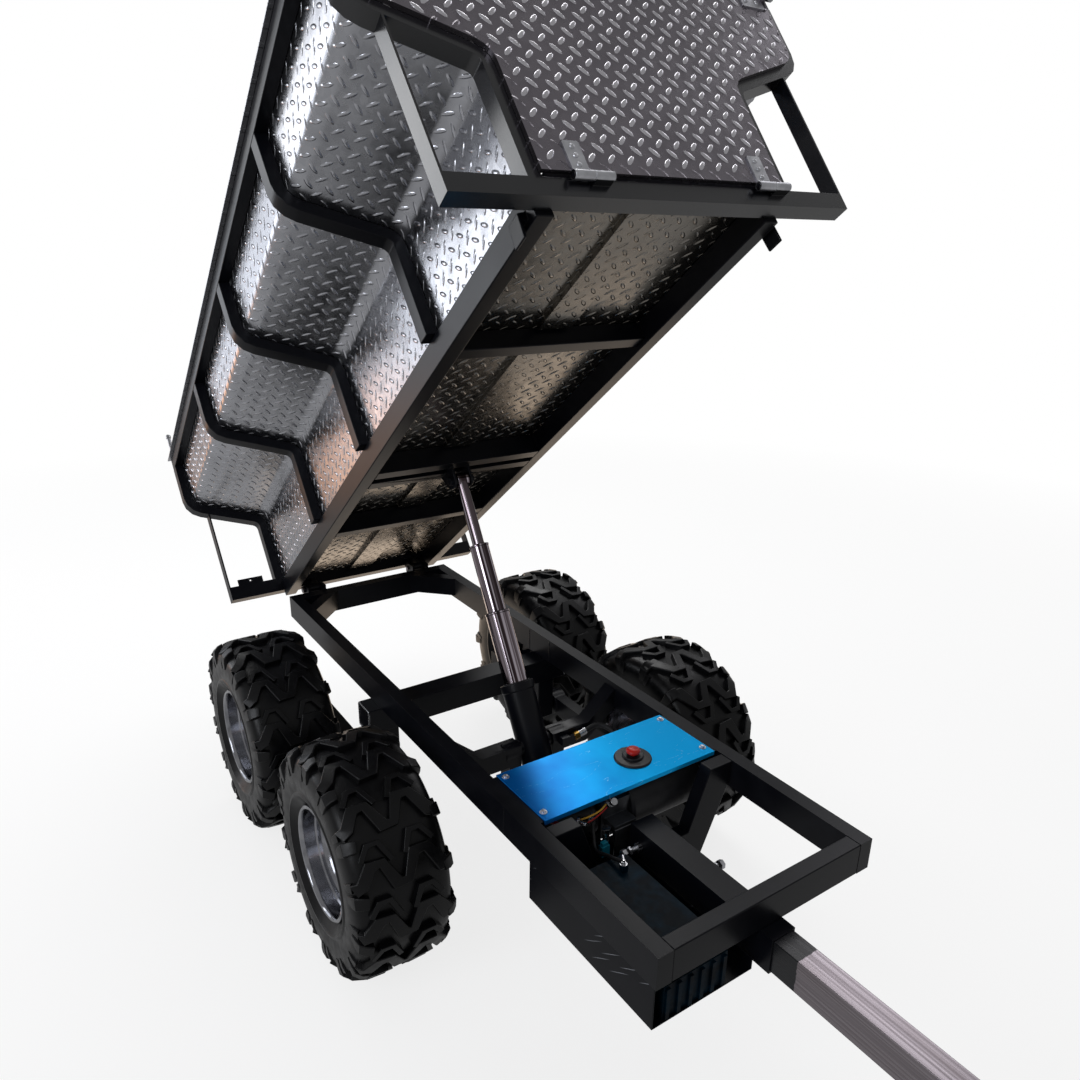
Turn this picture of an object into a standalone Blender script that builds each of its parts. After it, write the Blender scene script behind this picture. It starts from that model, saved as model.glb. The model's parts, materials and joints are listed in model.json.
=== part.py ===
"""Tipping trailer for an all-terrain vehicle, as separate pieces at real size, in metres.

+X points to the drawbar, +Y to the trailer's left, +Z up. The origin lies on the ground under the middle
of the trailer. The load bed stands raised, as it does when it tips its load out over the rear.
Chassis pieces are placed from the chassis' rear end (x) and its top face (z). Bed pieces are placed from
the axis that the bed tips about, with x along the bed floor and z square to it.
"""

import math

import bmesh
import bpy
from mathutils import Matrix, Vector

# Fits
TOUCH = 0.0003
RUNNING = 0.0004
SLIDING = 0.0005

# Tipping
TIP_ANGLE = math.radians(38.31)
PIVOT_SETBACK = 0.040
PIVOT_DROP = 0.002
PIVOT_PIN_RADIUS = 0.008
PIVOT_BARREL_RADIUS = 0.018
PIVOT_INSET = 0.106
PIVOT_BARREL_LENGTH = 0.052
LUG_PLATE = 0.008
LUG_DEPTH = 0.045

# Chassis
CHASSIS_LENGTH = 2.070
CHASSIS_WIDTH = 0.642
CHASSIS_TUBE = 0.040
CHASSIS_HEIGHT = 0.080
BRACE_LEG = 0.130
BRACE_TUBE = 0.040
AXLE_TUBE = 0.080
AXLE_TUBE_LENGTH = 0.720

# Wheels and walking beams
TYRE_RADIUS = 0.314
TYRE_WIDTH = 0.266
TREAD_DEPTH = 0.014
TREAD_LUGS = 16
TYRE_WALL = 0.014
RIM_RADIUS = 0.156
RIM_SHEET = 0.005
RIM_WIDTH = 0.240
RIM_WELL = 0.124
HUB_RADIUS = 0.044
HUB_CAP_RADIUS = 0.036
HUB_BORE_END = 0.036
HUB_CAP_END = 0.050
AXLE_DROP = 0.279
AXLE_SPACING = 0.734
BEAM_PIVOT_X = 0.766
BEAM_WIDTH = 0.040
BEAM_HEIGHT = 0.060
BEAM_END = 0.045
BEAM_GAP = 0.014
TYRE_GAP = 0.027
BEAM_BUSH_RADIUS = 0.040
BEAM_SHAFT_RADIUS = 0.020
STUB_RADIUS = 0.0175
DROP_LEG = 0.060

# Telescopic cylinder and its cradle
TRUNNION_X = 1.155
TRUNNION_DROP = 0.125
TRUNNION_RADIUS = 0.015
BED_PIN_X = 0.977
BED_PIN_DROP = 0.034
BED_PIN_RADIUS = 0.010
BARREL_RADIUS = 0.0475
BARREL_COLLAR = 0.0025
BARREL_TAIL = 0.075
BARREL_WALL = 0.010
STAGE_RADII = (0.036, 0.0285, 0.018)
STAGE_HEAD = 0.006
STAGE_SHARES = (0.365, 0.350, 0.285)
EYE_REACH = 0.041
EYE_RADIUS = 0.021
EYE_WIDTH = 0.036
CRADLE_DEPTH = 0.050
CRADLE_STUB_HEIGHT = 0.060
CRADLE_STUB_REACH = 0.185
CRADLE_BOSS_RADIUS = 0.028
CRADLE_BOSS_LENGTH = 0.050
CRADLE_TIE = 0.040
CRADLE_RISE_ANGLE = math.radians(41)

# Receiver, drawbar and ball coupler
RECEIVER_WALL = 0.004
RECEIVER_REAR = 1.645
RECEIVER_NOSE = 0.035
DRAWBAR_WIDTH = 0.060
DRAWBAR_HEIGHT = 0.080
DRAWBAR_WALL = 0.004
DRAWBAR_REAR = 1.660
DRAWBAR_LENGTH = 1.130
CLAMP_SCREW_RADIUS = 0.006
CLAMP_SCREW_X = (1.684, 1.840)
VEE_X = 1.630
VEE_DEPTH = 0.040
VEE_HEIGHT = 0.085
VEE_LEG = 0.075
VEE_FLOOR_INSET = 0.086
BALL_RADIUS = 0.025
COUPLER_WALL = 0.006
COUPLER_LENGTH = 0.150
HANDLE_RISE = 0.016
HANDLE_PIN_RADIUS = 0.004

# Power pack bay
COVER_REAR = 1.395
COVER_LENGTH = 0.220
COVER_GAP = 0.0105
COVER_SHEET = 0.003
COVER_FOLD = 0.012
COVER_BOLT_INSET = 0.021
LEDGE_WIDTH = 0.040
LEDGE_SHEET = 0.005
SWITCH_X = 1.523
SWITCH_Y = 0.067
SWITCH_RADIUS = 0.050
SWITCH_BODY_RADIUS = 0.022
SWITCH_COLLAR_RADIUS = 0.028
BUTTON_RADIUS = 0.019
BUTTON_TRAVEL = 0.005
PACK_X = 1.530
PACK_DROP = 0.100
MOTOR_RADIUS = 0.057
MOTOR_LENGTH = 0.165
BLOCK_SIZE = (0.110, 0.090, 0.100)
BLOCK_Y = -0.035
TANK_RADIUS = 0.075
TANK_LENGTH = 0.245
BATTERY_REAR = 1.710
BATTERY_TOP_DROP = 0.095
BATTERY_GAP = 0.062
TRAY_SHEET = 0.003
TRAY_REAR = 1.626
TRAY_DEPTH = 0.105
HOSE_RADIUS = 0.008

# Load bed
BED_TUBE = 0.040
RAIL_HEIGHT = 0.060
RAIL_SETBACK = 0.009
BAR_REACH = 0.191
LAMP_INSET = 0.090
FRONT_BAR_RISE = 0.010
REAR_BAR_RISE = 0.024
REAR_BAR_HEIGHT = 0.050
BED_OVERHANG = 0.081
SHEET = 0.003
FLOOR_INSET = 0.0135
SHELF_REACH = 0.241
SHELF_RISE = 0.269
SHELF_ANGLE = math.radians(20.5)
SIDE_HEIGHT = 0.561
STEP_INNER_BEND = 0.055
STEP_OUTER_BEND = 0.040
RIB = 0.030
RIB_WIDTH = 0.040
RIB_STATIONS = (0.530, 1.070, 1.600)
TOP_RAIL_HEIGHT = 0.040
TOP_FLANGE = 0.012
CROSSMEMBER_FRONT = 0.525
CROSSMEMBER_REAR = 1.595
COVER_CLEARANCE = 0.012
MOUNT_AHEAD = 0.028
MOUNT_BEHIND = 0.0395
EAR_SHEET = 0.008
UPRIGHT_SHEET = 0.005
STRIP_WIDTH = 0.095
STRIP_DEPTH = 0.012
GUIDE_SHEET = 0.006
GUIDE_GAP = 0.004

# Gates and latches
GATE_DEPTH = 0.010
GATE_SHEET = 0.003
GATE_CLEARANCE = 0.0008
GATE_OVERLAP = 0.008
GATE_TOP_DROP = 0.004
HINGE_RADIUS = 0.009
HINGE_PIN_RADIUS = 0.005
HINGE_LENGTH = 0.045
HINGE_DROP = 0.004
HINGE_INSETS = (0.0765, 0.0505)
LATCH_REACH = 0.0155
LATCH_DROP = 0.030
LATCH_HANDLE = 0.150
LATCH_ROD_RADIUS = 0.007

# Round shapes
RIVET_SIDES = 6
FEW_SIDES = 10
SIDES = 18
MANY_SIDES = 24
ARC_STEPS = 3

# Derived places
HALF_WIDTH = CHASSIS_WIDTH / 2
RAIL_INNER = HALF_WIDTH - CHASSIS_TUBE
PIVOT_Y = HALF_WIDTH - PIVOT_INSET
VEE_FLOOR_HALF = RAIL_INNER - VEE_FLOOR_INSET
RAIL_HALF = HALF_WIDTH - RAIL_SETBACK
BAR_HALF = RAIL_HALF + BAR_REACH
LAMP_Y = BAR_HALF - LAMP_INSET
FLOOR_HALF = RAIL_HALF - FLOOR_INSET
UPPER_HALF = FLOOR_HALF + SHELF_REACH
HINGE_Y = (HINGE_INSETS[0] - FLOOR_HALF, FLOOR_HALF - HINGE_INSETS[1])
LATCH_Y = UPPER_HALF + LATCH_REACH
CHASSIS_TOP = TYRE_RADIUS + AXLE_DROP
WHEEL_Y = HALF_WIDTH + BEAM_GAP + BEAM_WIDTH + TYRE_GAP + TYRE_WIDTH / 2
BEAM_INNER_Y = HALF_WIDTH + BEAM_GAP
BEAM_OUTER_Y = BEAM_INNER_Y + BEAM_WIDTH
RAIL_UNDERSIDE = PIVOT_DROP + TOUCH
RAIL_TOP = RAIL_UNDERSIDE + RAIL_HEIGHT
FLOOR_UNDERSIDE = RAIL_TOP + TOUCH
FLOOR_TOP = FLOOR_UNDERSIDE + SHEET
BED_TOP = FLOOR_TOP + SIDE_HEIGHT
BED_FRONT = PIVOT_SETBACK + CHASSIS_LENGTH + BED_TUBE
BED_REAR = -BED_OVERHANG
RIB_OFFSET = SHEET + TOUCH
RECEIVER_HALF = DRAWBAR_WIDTH / 2 + TOUCH + RECEIVER_WALL
RECEIVER_HEIGHT = DRAWBAR_HEIGHT + 2 * (TOUCH + RECEIVER_WALL)
RECEIVER_TOP = -CHASSIS_HEIGHT - TOUCH
DRAWBAR_Z = RECEIVER_TOP - RECEIVER_HEIGHT / 2
DRAWBAR_NOSE = DRAWBAR_REAR + DRAWBAR_LENGTH
BALL_X = DRAWBAR_NOSE + COUPLER_LENGTH - BALL_RADIUS - COUPLER_WALL
COUPLER_NOSE = DRAWBAR_NOSE + COUPLER_LENGTH
HINGE_RISE = RAIL_UNDERSIDE + FRONT_BAR_RISE + BED_TUBE - HINGE_DROP
REAR_HINGE_RISE = RAIL_UNDERSIDE + REAR_BAR_RISE + REAR_BAR_HEIGHT - HINGE_DROP
HINGE_STANDOFF = GATE_CLEARANCE + GATE_DEPTH + 0.003
LATCH_RISE = BED_TOP - LATCH_DROP
LATCH_STANDOFF = GATE_CLEARANCE + GATE_DEPTH + LATCH_ROD_RADIUS + 0.004


def raised(x, z):
    """Place in chassis coordinates of a point of the raised bed."""
    cos, sin = math.cos(TIP_ANGLE), math.sin(TIP_ANGLE)
    return Vector((-PIVOT_SETBACK + x * cos - z * sin, 0, -PIVOT_DROP + x * sin + z * cos))


CRADLE_INNER = BARREL_RADIUS + 0.0075
HOSE_START = Vector((TRUNNION_X + CRADLE_DEPTH / 2 + 0.011, 0.1265, -TRUNNION_DROP))

# The cylinder's length, raised and lowered, follows from its two pins
TRUNNION = Vector((TRUNNION_X, 0, -TRUNNION_DROP))
PIN_RAISED = raised(BED_PIN_X, -BED_PIN_DROP)
PIN_LOWERED = Vector((BED_PIN_X - PIVOT_SETBACK, 0, -BED_PIN_DROP - PIVOT_DROP))
RAISED_LENGTH = (PIN_RAISED - TRUNNION).length
LOWERED_LENGTH = (PIN_LOWERED - TRUNNION).length
TRAVEL = RAISED_LENGTH - LOWERED_LENGTH
BARREL_REACH = LOWERED_LENGTH - 2 * STAGE_HEAD - EYE_REACH
LEAN = math.atan2(PIN_RAISED.x - TRUNNION.x, PIN_RAISED.z - TRUNNION.z)

# The trailer's ends as it stands, which set the origin half way between them
LATCH_TIP = raised(BED_REAR - LATCH_STANDOFF - LATCH_ROD_RADIUS, LATCH_RISE + LATCH_HANDLE)
MIDDLE_X = (LATCH_TIP.x + COUPLER_NOSE) / 2

SIDE_NAMES = {1: "left", -1: "right"}


def clear_scene():
    """Empty the scene before the trailer is built."""
    for item in list(bpy.data.objects):
        bpy.data.objects.remove(item, do_unlink=True)


def new_collection(name):
    collection = bpy.data.collections.new(name)
    bpy.context.scene.collection.children.link(collection)
    return collection


clear_scene()
PARTS = new_collection("tipping_trailer")
SHAPES = new_collection("shapes_in_work")


def paint(name, colour, roughness, metallic):
    """A plain Principled material."""
    finish = bpy.data.materials.new(name)
    finish.use_nodes = True
    shader = finish.node_tree.nodes["Principled BSDF"]
    shader.inputs["Base Color"].default_value = (*colour, 1)
    shader.inputs["Roughness"].default_value = roughness
    shader.inputs["Metallic"].default_value = metallic
    finish.diffuse_color = (*colour, 1)
    return finish


BLACK_PAINT = paint("black_paint", (0.012, 0.012, 0.014), 0.35, 0.0)
GALVANISED = paint("galvanised_chequer_plate", (0.42, 0.42, 0.43), 0.35, 1.0)
RAW_STEEL = paint("drawn_steel", (0.36, 0.34, 0.34), 0.35, 1.0)
RUBBER = paint("tyre_rubber", (0.012, 0.012, 0.014), 0.8, 0.0)
WHEEL_STEEL = paint("plated_wheel", (0.62, 0.62, 0.64), 0.25, 1.0)
CHROME = paint("hard_chrome", (0.6, 0.58, 0.6), 0.12, 1.0)
BLUE_PAINT = paint("blue_paint", (0.0, 0.27, 0.75), 0.3, 0.0)
BLACK_PLASTIC = paint("black_plastic", (0.01, 0.01, 0.011), 0.45, 0.0)
RED_PLASTIC = paint("red_plastic", (0.55, 0.02, 0.015), 0.35, 0.0)
HOSE_RUBBER = paint("hose_rubber", (0.01, 0.01, 0.01), 0.6, 0.0)
CAST_ALLOY = paint("cast_alloy", (0.3, 0.31, 0.32), 0.5, 1.0)


def shape_from(bm):
    """A working shape from a bmesh, with its faces turned outwards."""
    bmesh.ops.recalc_face_normals(bm, faces=bm.faces)
    mesh = bpy.data.meshes.new("shape")
    bm.to_mesh(mesh)
    bm.free()
    shape = bpy.data.objects.new("shape", mesh)
    SHAPES.objects.link(shape)
    return shape


def evaluated_bmesh(item):
    """What an object looks like after its modifiers, welded, as a bmesh; the object is removed."""
    graph = bpy.context.evaluated_depsgraph_get()
    mesh = bpy.data.meshes.new_from_object(item.evaluated_get(graph))
    mesh.transform(item.matrix_world)
    bm = bmesh.new()
    bm.from_mesh(mesh)
    bpy.data.meshes.remove(mesh)
    bpy.data.objects.remove(item, do_unlink=True)
    bmesh.ops.remove_doubles(bm, verts=bm.verts, dist=1e-5)
    bmesh.ops.dissolve_degenerate(bm, edges=bm.edges, dist=1e-6)
    return bm


def box(low, high):
    """A block between two corners."""
    low, high = Vector(low), Vector(high)
    size = high - low
    place = Matrix.Translation((low + high) / 2) @ Matrix.Diagonal((*size, 1))
    bm = bmesh.new()
    bmesh.ops.create_cube(bm, size=1, matrix=place)
    return shape_from(bm)


def rod(start, end, radius, sides=SIDES, end_radius=None):
    """A round bar, or a cone where the end radius differs."""
    start, end = Vector(start), Vector(end)
    along = end - start
    turn = Vector((0, 0, 1)).rotation_difference(along).to_matrix().to_4x4()
    place = Matrix.Translation((start + end) / 2) @ turn
    bm = bmesh.new()
    bmesh.ops.create_cone(
        bm,
        cap_ends=True,
        segments=sides,
        radius1=radius,
        radius2=radius if end_radius is None else end_radius,
        depth=along.length,
        matrix=place,
    )
    return shape_from(bm)


AXES_OF = {"x": ((0, 1, 0), (0, 0, 1)), "y": ((1, 0, 0), (0, 0, 1)), "z": ((1, 0, 0), (0, 1, 0))}
NORMAL_OF = {"x": (1, 0, 0), "y": (0, 1, 0), "z": (0, 0, 1)}


def slab(outlines, axis, low, high):
    """A flat outline drawn out along one axis. Further outlines inside the first are holes through it."""
    curve = bpy.data.curves.new("outline", "CURVE")
    curve.dimensions = "2D"
    curve.fill_mode = "BOTH"
    curve.extrude = abs(high - low) / 2
    for outline in outlines:
        spline = curve.splines.new("POLY")
        spline.points.add(len(outline) - 1)
        for point, (across, up) in zip(spline.points, outline):
            point.co = (across, up, 0, 1)
        spline.use_cyclic_u = True
    across, up = (Vector(part) for part in AXES_OF[axis])
    normal = Vector(NORMAL_OF[axis])
    item = bpy.data.objects.new("outline", curve)
    SHAPES.objects.link(item)
    item.matrix_world = Matrix.Translation(normal * (low + high) / 2) @ Matrix(
        (across, up, normal)
    ).transposed().to_4x4()
    bpy.context.view_layer.update()
    return shape_from(evaluated_bmesh(item))


def turned(profile, origin, direction, steps=SIDES, closed=False):
    """A profile of (radius, height) points, turned about the direction through the origin."""
    mesh = bpy.data.meshes.new("profile")
    edges = [(i, i + 1) for i in range(len(profile) - 1)]
    if closed:
        edges.append((len(profile) - 1, 0))
    edges = [(a, b) for a, b in edges if profile[a][0] or profile[b][0]]
    mesh.from_pydata([(radius, 0, height) for radius, height in profile], edges, [])
    item = bpy.data.objects.new("profile", mesh)
    SHAPES.objects.link(item)
    screw = item.modifiers.new("turn", "SCREW")
    screw.axis = "Z"
    screw.steps = screw.render_steps = steps
    screw.use_merge_vertices = True
    screw.merge_threshold = 0.0001
    turn = Vector((0, 0, 1)).rotation_difference(Vector(direction)).to_matrix().to_4x4()
    item.matrix_world = Matrix.Translation(origin) @ turn
    bpy.context.view_layer.update()
    return shape_from(evaluated_bmesh(item))


def boolean(base, others, operation):
    """Join the other shapes to the base or cut them from it."""
    for other in others:
        step = base.modifiers.new(operation.lower(), "BOOLEAN")
        step.operation = operation
        step.solver = "EXACT"
        step.object = other
    bpy.context.view_layer.update()
    bm = evaluated_bmesh(base)
    bmesh.ops.triangulate(bm, faces=[face for face in bm.faces if len(face.verts) > 4])
    for other in others:
        bpy.data.objects.remove(other, do_unlink=True)
    return shape_from(bm)


def fused(base, *others):
    return boolean(base, others, "UNION")


def cut(base, *others):
    return boolean(base, others, "DIFFERENCE")


def node(name, shape, finish, parent, smooth_angle=35):
    """Make a working shape one named piece of the trailer."""
    shape.name = name
    shape.data.name = name
    shape.data.materials.clear()
    shape.data.materials.append(finish)
    shape.data.shade_smooth()
    shape.data.set_sharp_from_angle(angle=math.radians(smooth_angle))
    SHAPES.objects.unlink(shape)
    PARTS.objects.link(shape)
    shape.parent = parent
    return shape


def datum(name, location, parent=None, turn_y=0.0):
    """An empty that carries the pieces of one moving group, on the group's axis."""
    empty = bpy.data.objects.new(name, None)
    PARTS.objects.link(empty)
    empty.empty_display_size = 0.1
    empty.parent = parent
    empty.location = location
    empty.rotation_euler = (0, turn_y, 0)
    return empty


def filleted(points, radii, steps=ARC_STEPS):
    """The open or closed line through the points with each corner that has a radius rounded off."""
    line = []
    for index, (point, radius) in enumerate(zip(points, radii)):
        corner = Vector(point)
        if not radius:
            line.append(tuple(corner))
            continue
        before = (Vector(points[index - 1]) - corner).normalized()
        after = (Vector(points[(index + 1) % len(points)]) - corner).normalized()
        half = before.angle(after) / 2
        centre = corner + (before + after).normalized() * radius / math.sin(half)
        start = corner + before * radius / math.tan(half) - centre
        end = corner + after * radius / math.tan(half) - centre
        sweep = math.atan2(start.x * end.y - start.y * end.x, start.dot(end))
        for step in range(steps + 1):
            line.append(tuple(centre + Matrix.Rotation(sweep * step / steps, 2) @ start))
    return line


def rectangle(low, high, radius=0.0):
    (a, b), (c, d) = low, high
    return filleted([(a, b), (c, b), (c, d), (a, d)], [radius] * 4)


def circle(centre, radius, sides=SIDES):
    turns = [math.pi / 2 + 2 * math.pi * i / sides for i in range(sides)]
    return [(centre[0] + radius * math.cos(t), centre[1] + radius * math.sin(t)) for t in turns]


def mirrored(outline, side):
    """The outline on one side of the trailer."""
    return [(side * across, up) for across, up in outline]


def square_tube(low, high, wall, axis="x"):
    """A rectangular tube, open at both ends, between two corners of its outside."""
    index = "xyz".index(axis)
    flat = [i for i in range(3) if i != index]
    outer = rectangle([low[i] for i in flat], [high[i] for i in flat])
    inner = rectangle([low[i] + wall for i in flat], [high[i] - wall for i in flat])
    return slab([outer, inner], axis, low[index], high[index])


def stepped_line(offset, foot, top):
    """The stepped cross-section of one side of the bed, moved outwards by an offset.

    It runs up the lower wall, out along the shelf and up the upper wall.
    """
    lower, upper = FLOOR_HALF + offset, UPPER_HALF + offset
    drop = offset / math.cos(SHELF_ANGLE)
    start = FLOOR_TOP + SHELF_RISE - drop
    inner = (lower, start + (lower - FLOOR_HALF) * math.tan(SHELF_ANGLE))
    outer = (upper, start + (upper - FLOOR_HALF) * math.tan(SHELF_ANGLE))
    inner_bend = max(STEP_INNER_BEND - offset, 0.002)
    return filleted(
        [(lower, foot), inner, outer, (upper, top)], [0, inner_bend, STEP_OUTER_BEND + offset, 0]
    )


def stepped_band(inner_offset, outer_offset, foot, top):
    """A closed outline between two offsets of the stepped cross-section."""
    return stepped_line(inner_offset, foot, top) + stepped_line(outer_offset, foot, top)[::-1]


def hexagon_head(centre, direction, across, height):
    """A hexagon bolt head or nut."""
    centre = Vector(centre)
    end = centre + Vector(direction).normalized() * height
    return rod(centre, end, across / math.sqrt(3), sides=6)


def build_chassis(chassis):
    """Side rails, crossmembers, braces and the lugs that the bed tips on."""
    for side, name in SIDE_NAMES.items():
        inner, outer = sorted((side * RAIL_INNER, side * HALF_WIDTH))
        rail = box((0, inner, -CHASSIS_HEIGHT), (CHASSIS_LENGTH, outer, 0))
        ledge_inner, ledge_outer = sorted(
            (side * (RAIL_INNER - LEDGE_WIDTH), side * (RAIL_INNER + CHASSIS_TUBE / 4))
        )
        ledge = box(
            (COVER_REAR + COVER_SHEET + SLIDING, ledge_inner, -TOUCH - LEDGE_SHEET),
            (COVER_REAR + COVER_LENGTH - COVER_SHEET - SLIDING, ledge_outer, -TOUCH),
        )
        node(f"chassis_rail_{name}", fused(rail, ledge), BLACK_PAINT, chassis)

    half = RAIL_INNER - TOUCH
    front = box((CHASSIS_LENGTH - CHASSIS_TUBE, -half, -CHASSIS_HEIGHT), (CHASSIS_LENGTH, half, 0))
    node("front_crossmember", front, BLACK_PAINT, chassis)

    rear = box((0, -half, -CHASSIS_HEIGHT), (CHASSIS_TUBE, half, 0))
    pieces = []
    for side in SIDE_NAMES:
        slant = BRACE_TUBE * math.sqrt(2)
        reach = CHASSIS_TUBE + BRACE_LEG
        brace = [
            (CHASSIS_TUBE / 2, half),
            (reach, half),
            (CHASSIS_TUBE, half - BRACE_LEG),
            (CHASSIS_TUBE / 2, half - BRACE_LEG),
        ]
        gap = [
            (CHASSIS_TUBE, half + BRACE_TUBE),
            (reach - slant, half + BRACE_TUBE),
            (reach - slant, half),
            (CHASSIS_TUBE, half - BRACE_LEG + slant),
        ]
        solid = slab([[(x, side * y) for x, y in brace]], "z", -CHASSIS_HEIGHT + 0.010, -0.0005)
        hole = slab([[(x, side * y) for x, y in gap]], "z", -CHASSIS_HEIGHT - 0.01, 0.01)
        pieces.append(cut(solid, hole))
        pieces.extend(pivot_lugs(side))
    node("rear_crossmember", fused(rear, *pieces), BLACK_PAINT, chassis)

    for side, name in SIDE_NAMES.items():
        node(f"pivot_pin_{name}", pivot_pin(side), RAW_STEEL, chassis)


def pivot_lugs(side):
    """The two lug plates that hold one pivot pin of the bed."""
    plates = []
    radius = PIVOT_BARREL_RADIUS + 0.002
    outline = filleted(
        [
            (0.004, -LUG_DEPTH),
            (-PIVOT_SETBACK - radius, -LUG_DEPTH * 0.55),
            (-PIVOT_SETBACK - radius, -PIVOT_DROP + radius),
            (0.004, -PIVOT_DROP + radius),
        ],
        [0, radius * 0.8, radius * 0.9, 0],
    )
    hole = circle((-PIVOT_SETBACK, -PIVOT_DROP), PIVOT_PIN_RADIUS + RUNNING, FEW_SIDES)
    reach = PIVOT_BARREL_LENGTH / 2 + SLIDING
    for low in (PIVOT_Y - reach - LUG_PLATE, PIVOT_Y + reach):
        edges = sorted((side * low, side * (low + LUG_PLATE)))
        plates.append(slab([outline, hole], "y", *edges))
    return plates


def pivot_pin(side):
    """One pivot pin with its head outside."""
    reach = PIVOT_BARREL_LENGTH / 2 + SLIDING + LUG_PLATE
    centre = Vector((-PIVOT_SETBACK, side * PIVOT_Y, -PIVOT_DROP))
    out = Vector((0, side, 0))
    shank = rod(centre - out * (reach + 0.006), centre + out * (reach + 0.002), PIVOT_PIN_RADIUS, FEW_SIDES)
    head_start = centre + out * (reach + TOUCH)
    return fused(shank, hexagon_head(head_start, out, 0.024, 0.008))


def build_axle(chassis):
    """The axle tube across the chassis with a drop leg and a beam shaft at each end."""
    top = -CHASSIS_HEIGHT - TOUCH
    half = AXLE_TUBE_LENGTH / 2
    tube = box(
        (BEAM_PIVOT_X - AXLE_TUBE / 2, -half, top - AXLE_TUBE), (BEAM_PIVOT_X + AXLE_TUBE / 2, half, top)
    )
    pieces = []
    for side in SIDE_NAMES:
        low, high = sorted((side * (HALF_WIDTH - DROP_LEG), side * HALF_WIDTH))
        pieces.append(
            box(
                (BEAM_PIVOT_X - DROP_LEG / 2, low, -AXLE_DROP - DROP_LEG / 2),
                (BEAM_PIVOT_X + DROP_LEG / 2, high, top - AXLE_TUBE / 2),
            )
        )
        inside = Vector((BEAM_PIVOT_X, side * (HALF_WIDTH - 0.010), -AXLE_DROP))
        outside = Vector((BEAM_PIVOT_X, side * (BEAM_OUTER_Y + 0.008), -AXLE_DROP))
        pieces.append(rod(inside, outside, BEAM_SHAFT_RADIUS))
    node("axle_crossmember", fused(tube, *pieces), BLACK_PAINT, chassis)


def build_cradle(chassis):
    """The cradle between the side rails that carries the cylinder's trunnions."""
    stub_top = -TRUNNION_DROP + CRADLE_STUB_HEIGHT * 0.4
    stub_bottom = stub_top - CRADLE_STUB_HEIGHT
    inner = CRADLE_INNER
    outer = inner + CRADLE_TIE
    window = -TRUNNION_DROP - math.hypot(BARREL_TAIL, BARREL_RADIUS) - 0.008
    wall = RAIL_INNER - TOUCH
    rise = (wall - CRADLE_STUB_REACH) * math.tan(CRADLE_RISE_ANGLE)
    arm = CRADLE_DEPTH / math.cos(CRADLE_RISE_ANGLE)
    low_run = (arm - CRADLE_STUB_HEIGHT) / math.tan(CRADLE_RISE_ANGLE)
    half = [
        (inner, window),
        (inner, stub_top),
        (CRADLE_STUB_REACH, stub_top),
        (wall, stub_top + rise),
        (wall, stub_top + rise - arm),
        (CRADLE_STUB_REACH - low_run, stub_bottom),
        (outer, stub_bottom),
        (outer, window - CRADLE_TIE),
    ]
    outline = half + [(-across, up) for across, up in reversed(half)]
    start = TRUNNION_X - CRADLE_DEPTH / 2
    cradle = slab([outline], "x", start, start + CRADLE_DEPTH)
    bosses, bores = [], []
    for side in SIDE_NAMES:
        centre = Vector((TRUNNION_X, side * inner, -TRUNNION_DROP))
        out = Vector((0, side, 0))
        bosses.append(rod(centre, centre + out * CRADLE_BOSS_LENGTH, CRADLE_BOSS_RADIUS))
        bores.append(
            rod(centre - out * 0.01, centre + out * (CRADLE_BOSS_LENGTH - 0.006), TRUNNION_RADIUS + RUNNING)
        )
    front = TRUNNION_X + CRADLE_DEPTH / 2
    port = HOSE_START
    banjo = box(
        (front - 0.002, inner + 0.020, port.z - 0.012), (port.x + 0.010, port.y - 0.024, port.z + 0.012)
    )
    fitting = hexagon_head((port.x, port.y - 0.026, port.z), (0, 1, 0), 0.018, 0.026 - 2 * TOUCH)
    node("trunnion_cradle", cut(fused(cradle, *bosses, banjo, fitting), *bores), BLACK_PAINT, chassis)


def build_drawbar_mount(chassis):
    """The vee crossmember and the receiver tube that it carries under the front of the chassis."""
    receiver_bottom = RECEIVER_TOP - RECEIVER_HEIGHT
    floor_top = receiver_bottom - TOUCH
    wall = RAIL_INNER - TOUCH
    top = -0.001
    lean = (wall - VEE_LEG - (VEE_FLOOR_HALF - VEE_LEG * 0.7)) / (top - floor_top)
    half = [
        (wall - VEE_LEG - lean * (top - floor_top), floor_top),
        (wall - VEE_LEG, top),
        (wall, top),
        (wall, top - 0.050),
        (VEE_FLOOR_HALF, floor_top - VEE_HEIGHT),
    ]
    outline = half + [(-across, up) for across, up in reversed(half)]
    node("vee_crossmember", slab([outline], "x", VEE_X, VEE_X + VEE_DEPTH), BLACK_PAINT, chassis)

    nose = CHASSIS_LENGTH + RECEIVER_NOSE
    tube = square_tube(
        (RECEIVER_REAR, -RECEIVER_HALF, receiver_bottom), (nose, RECEIVER_HALF, RECEIVER_TOP), RECEIVER_WALL
    )
    screws = []
    for side, x in zip((-1, 1), CLAMP_SCREW_X):
        root = Vector((x, side * (RECEIVER_HALF - RECEIVER_WALL / 2), DRAWBAR_Z))
        out = Vector((0, side, 0))
        face = root + out * RECEIVER_WALL / 2
        screws.append(hexagon_head(face - out * 0.001, out, 0.019, 0.012))
        screws.append(rod(root, face + out * 0.046, CLAMP_SCREW_RADIUS, FEW_SIDES))
        screws.append(hexagon_head(face + out * 0.038, out, 0.019, 0.010))
    node("receiver_tube", fused(tube, *screws), BLACK_PAINT, chassis)


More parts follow.
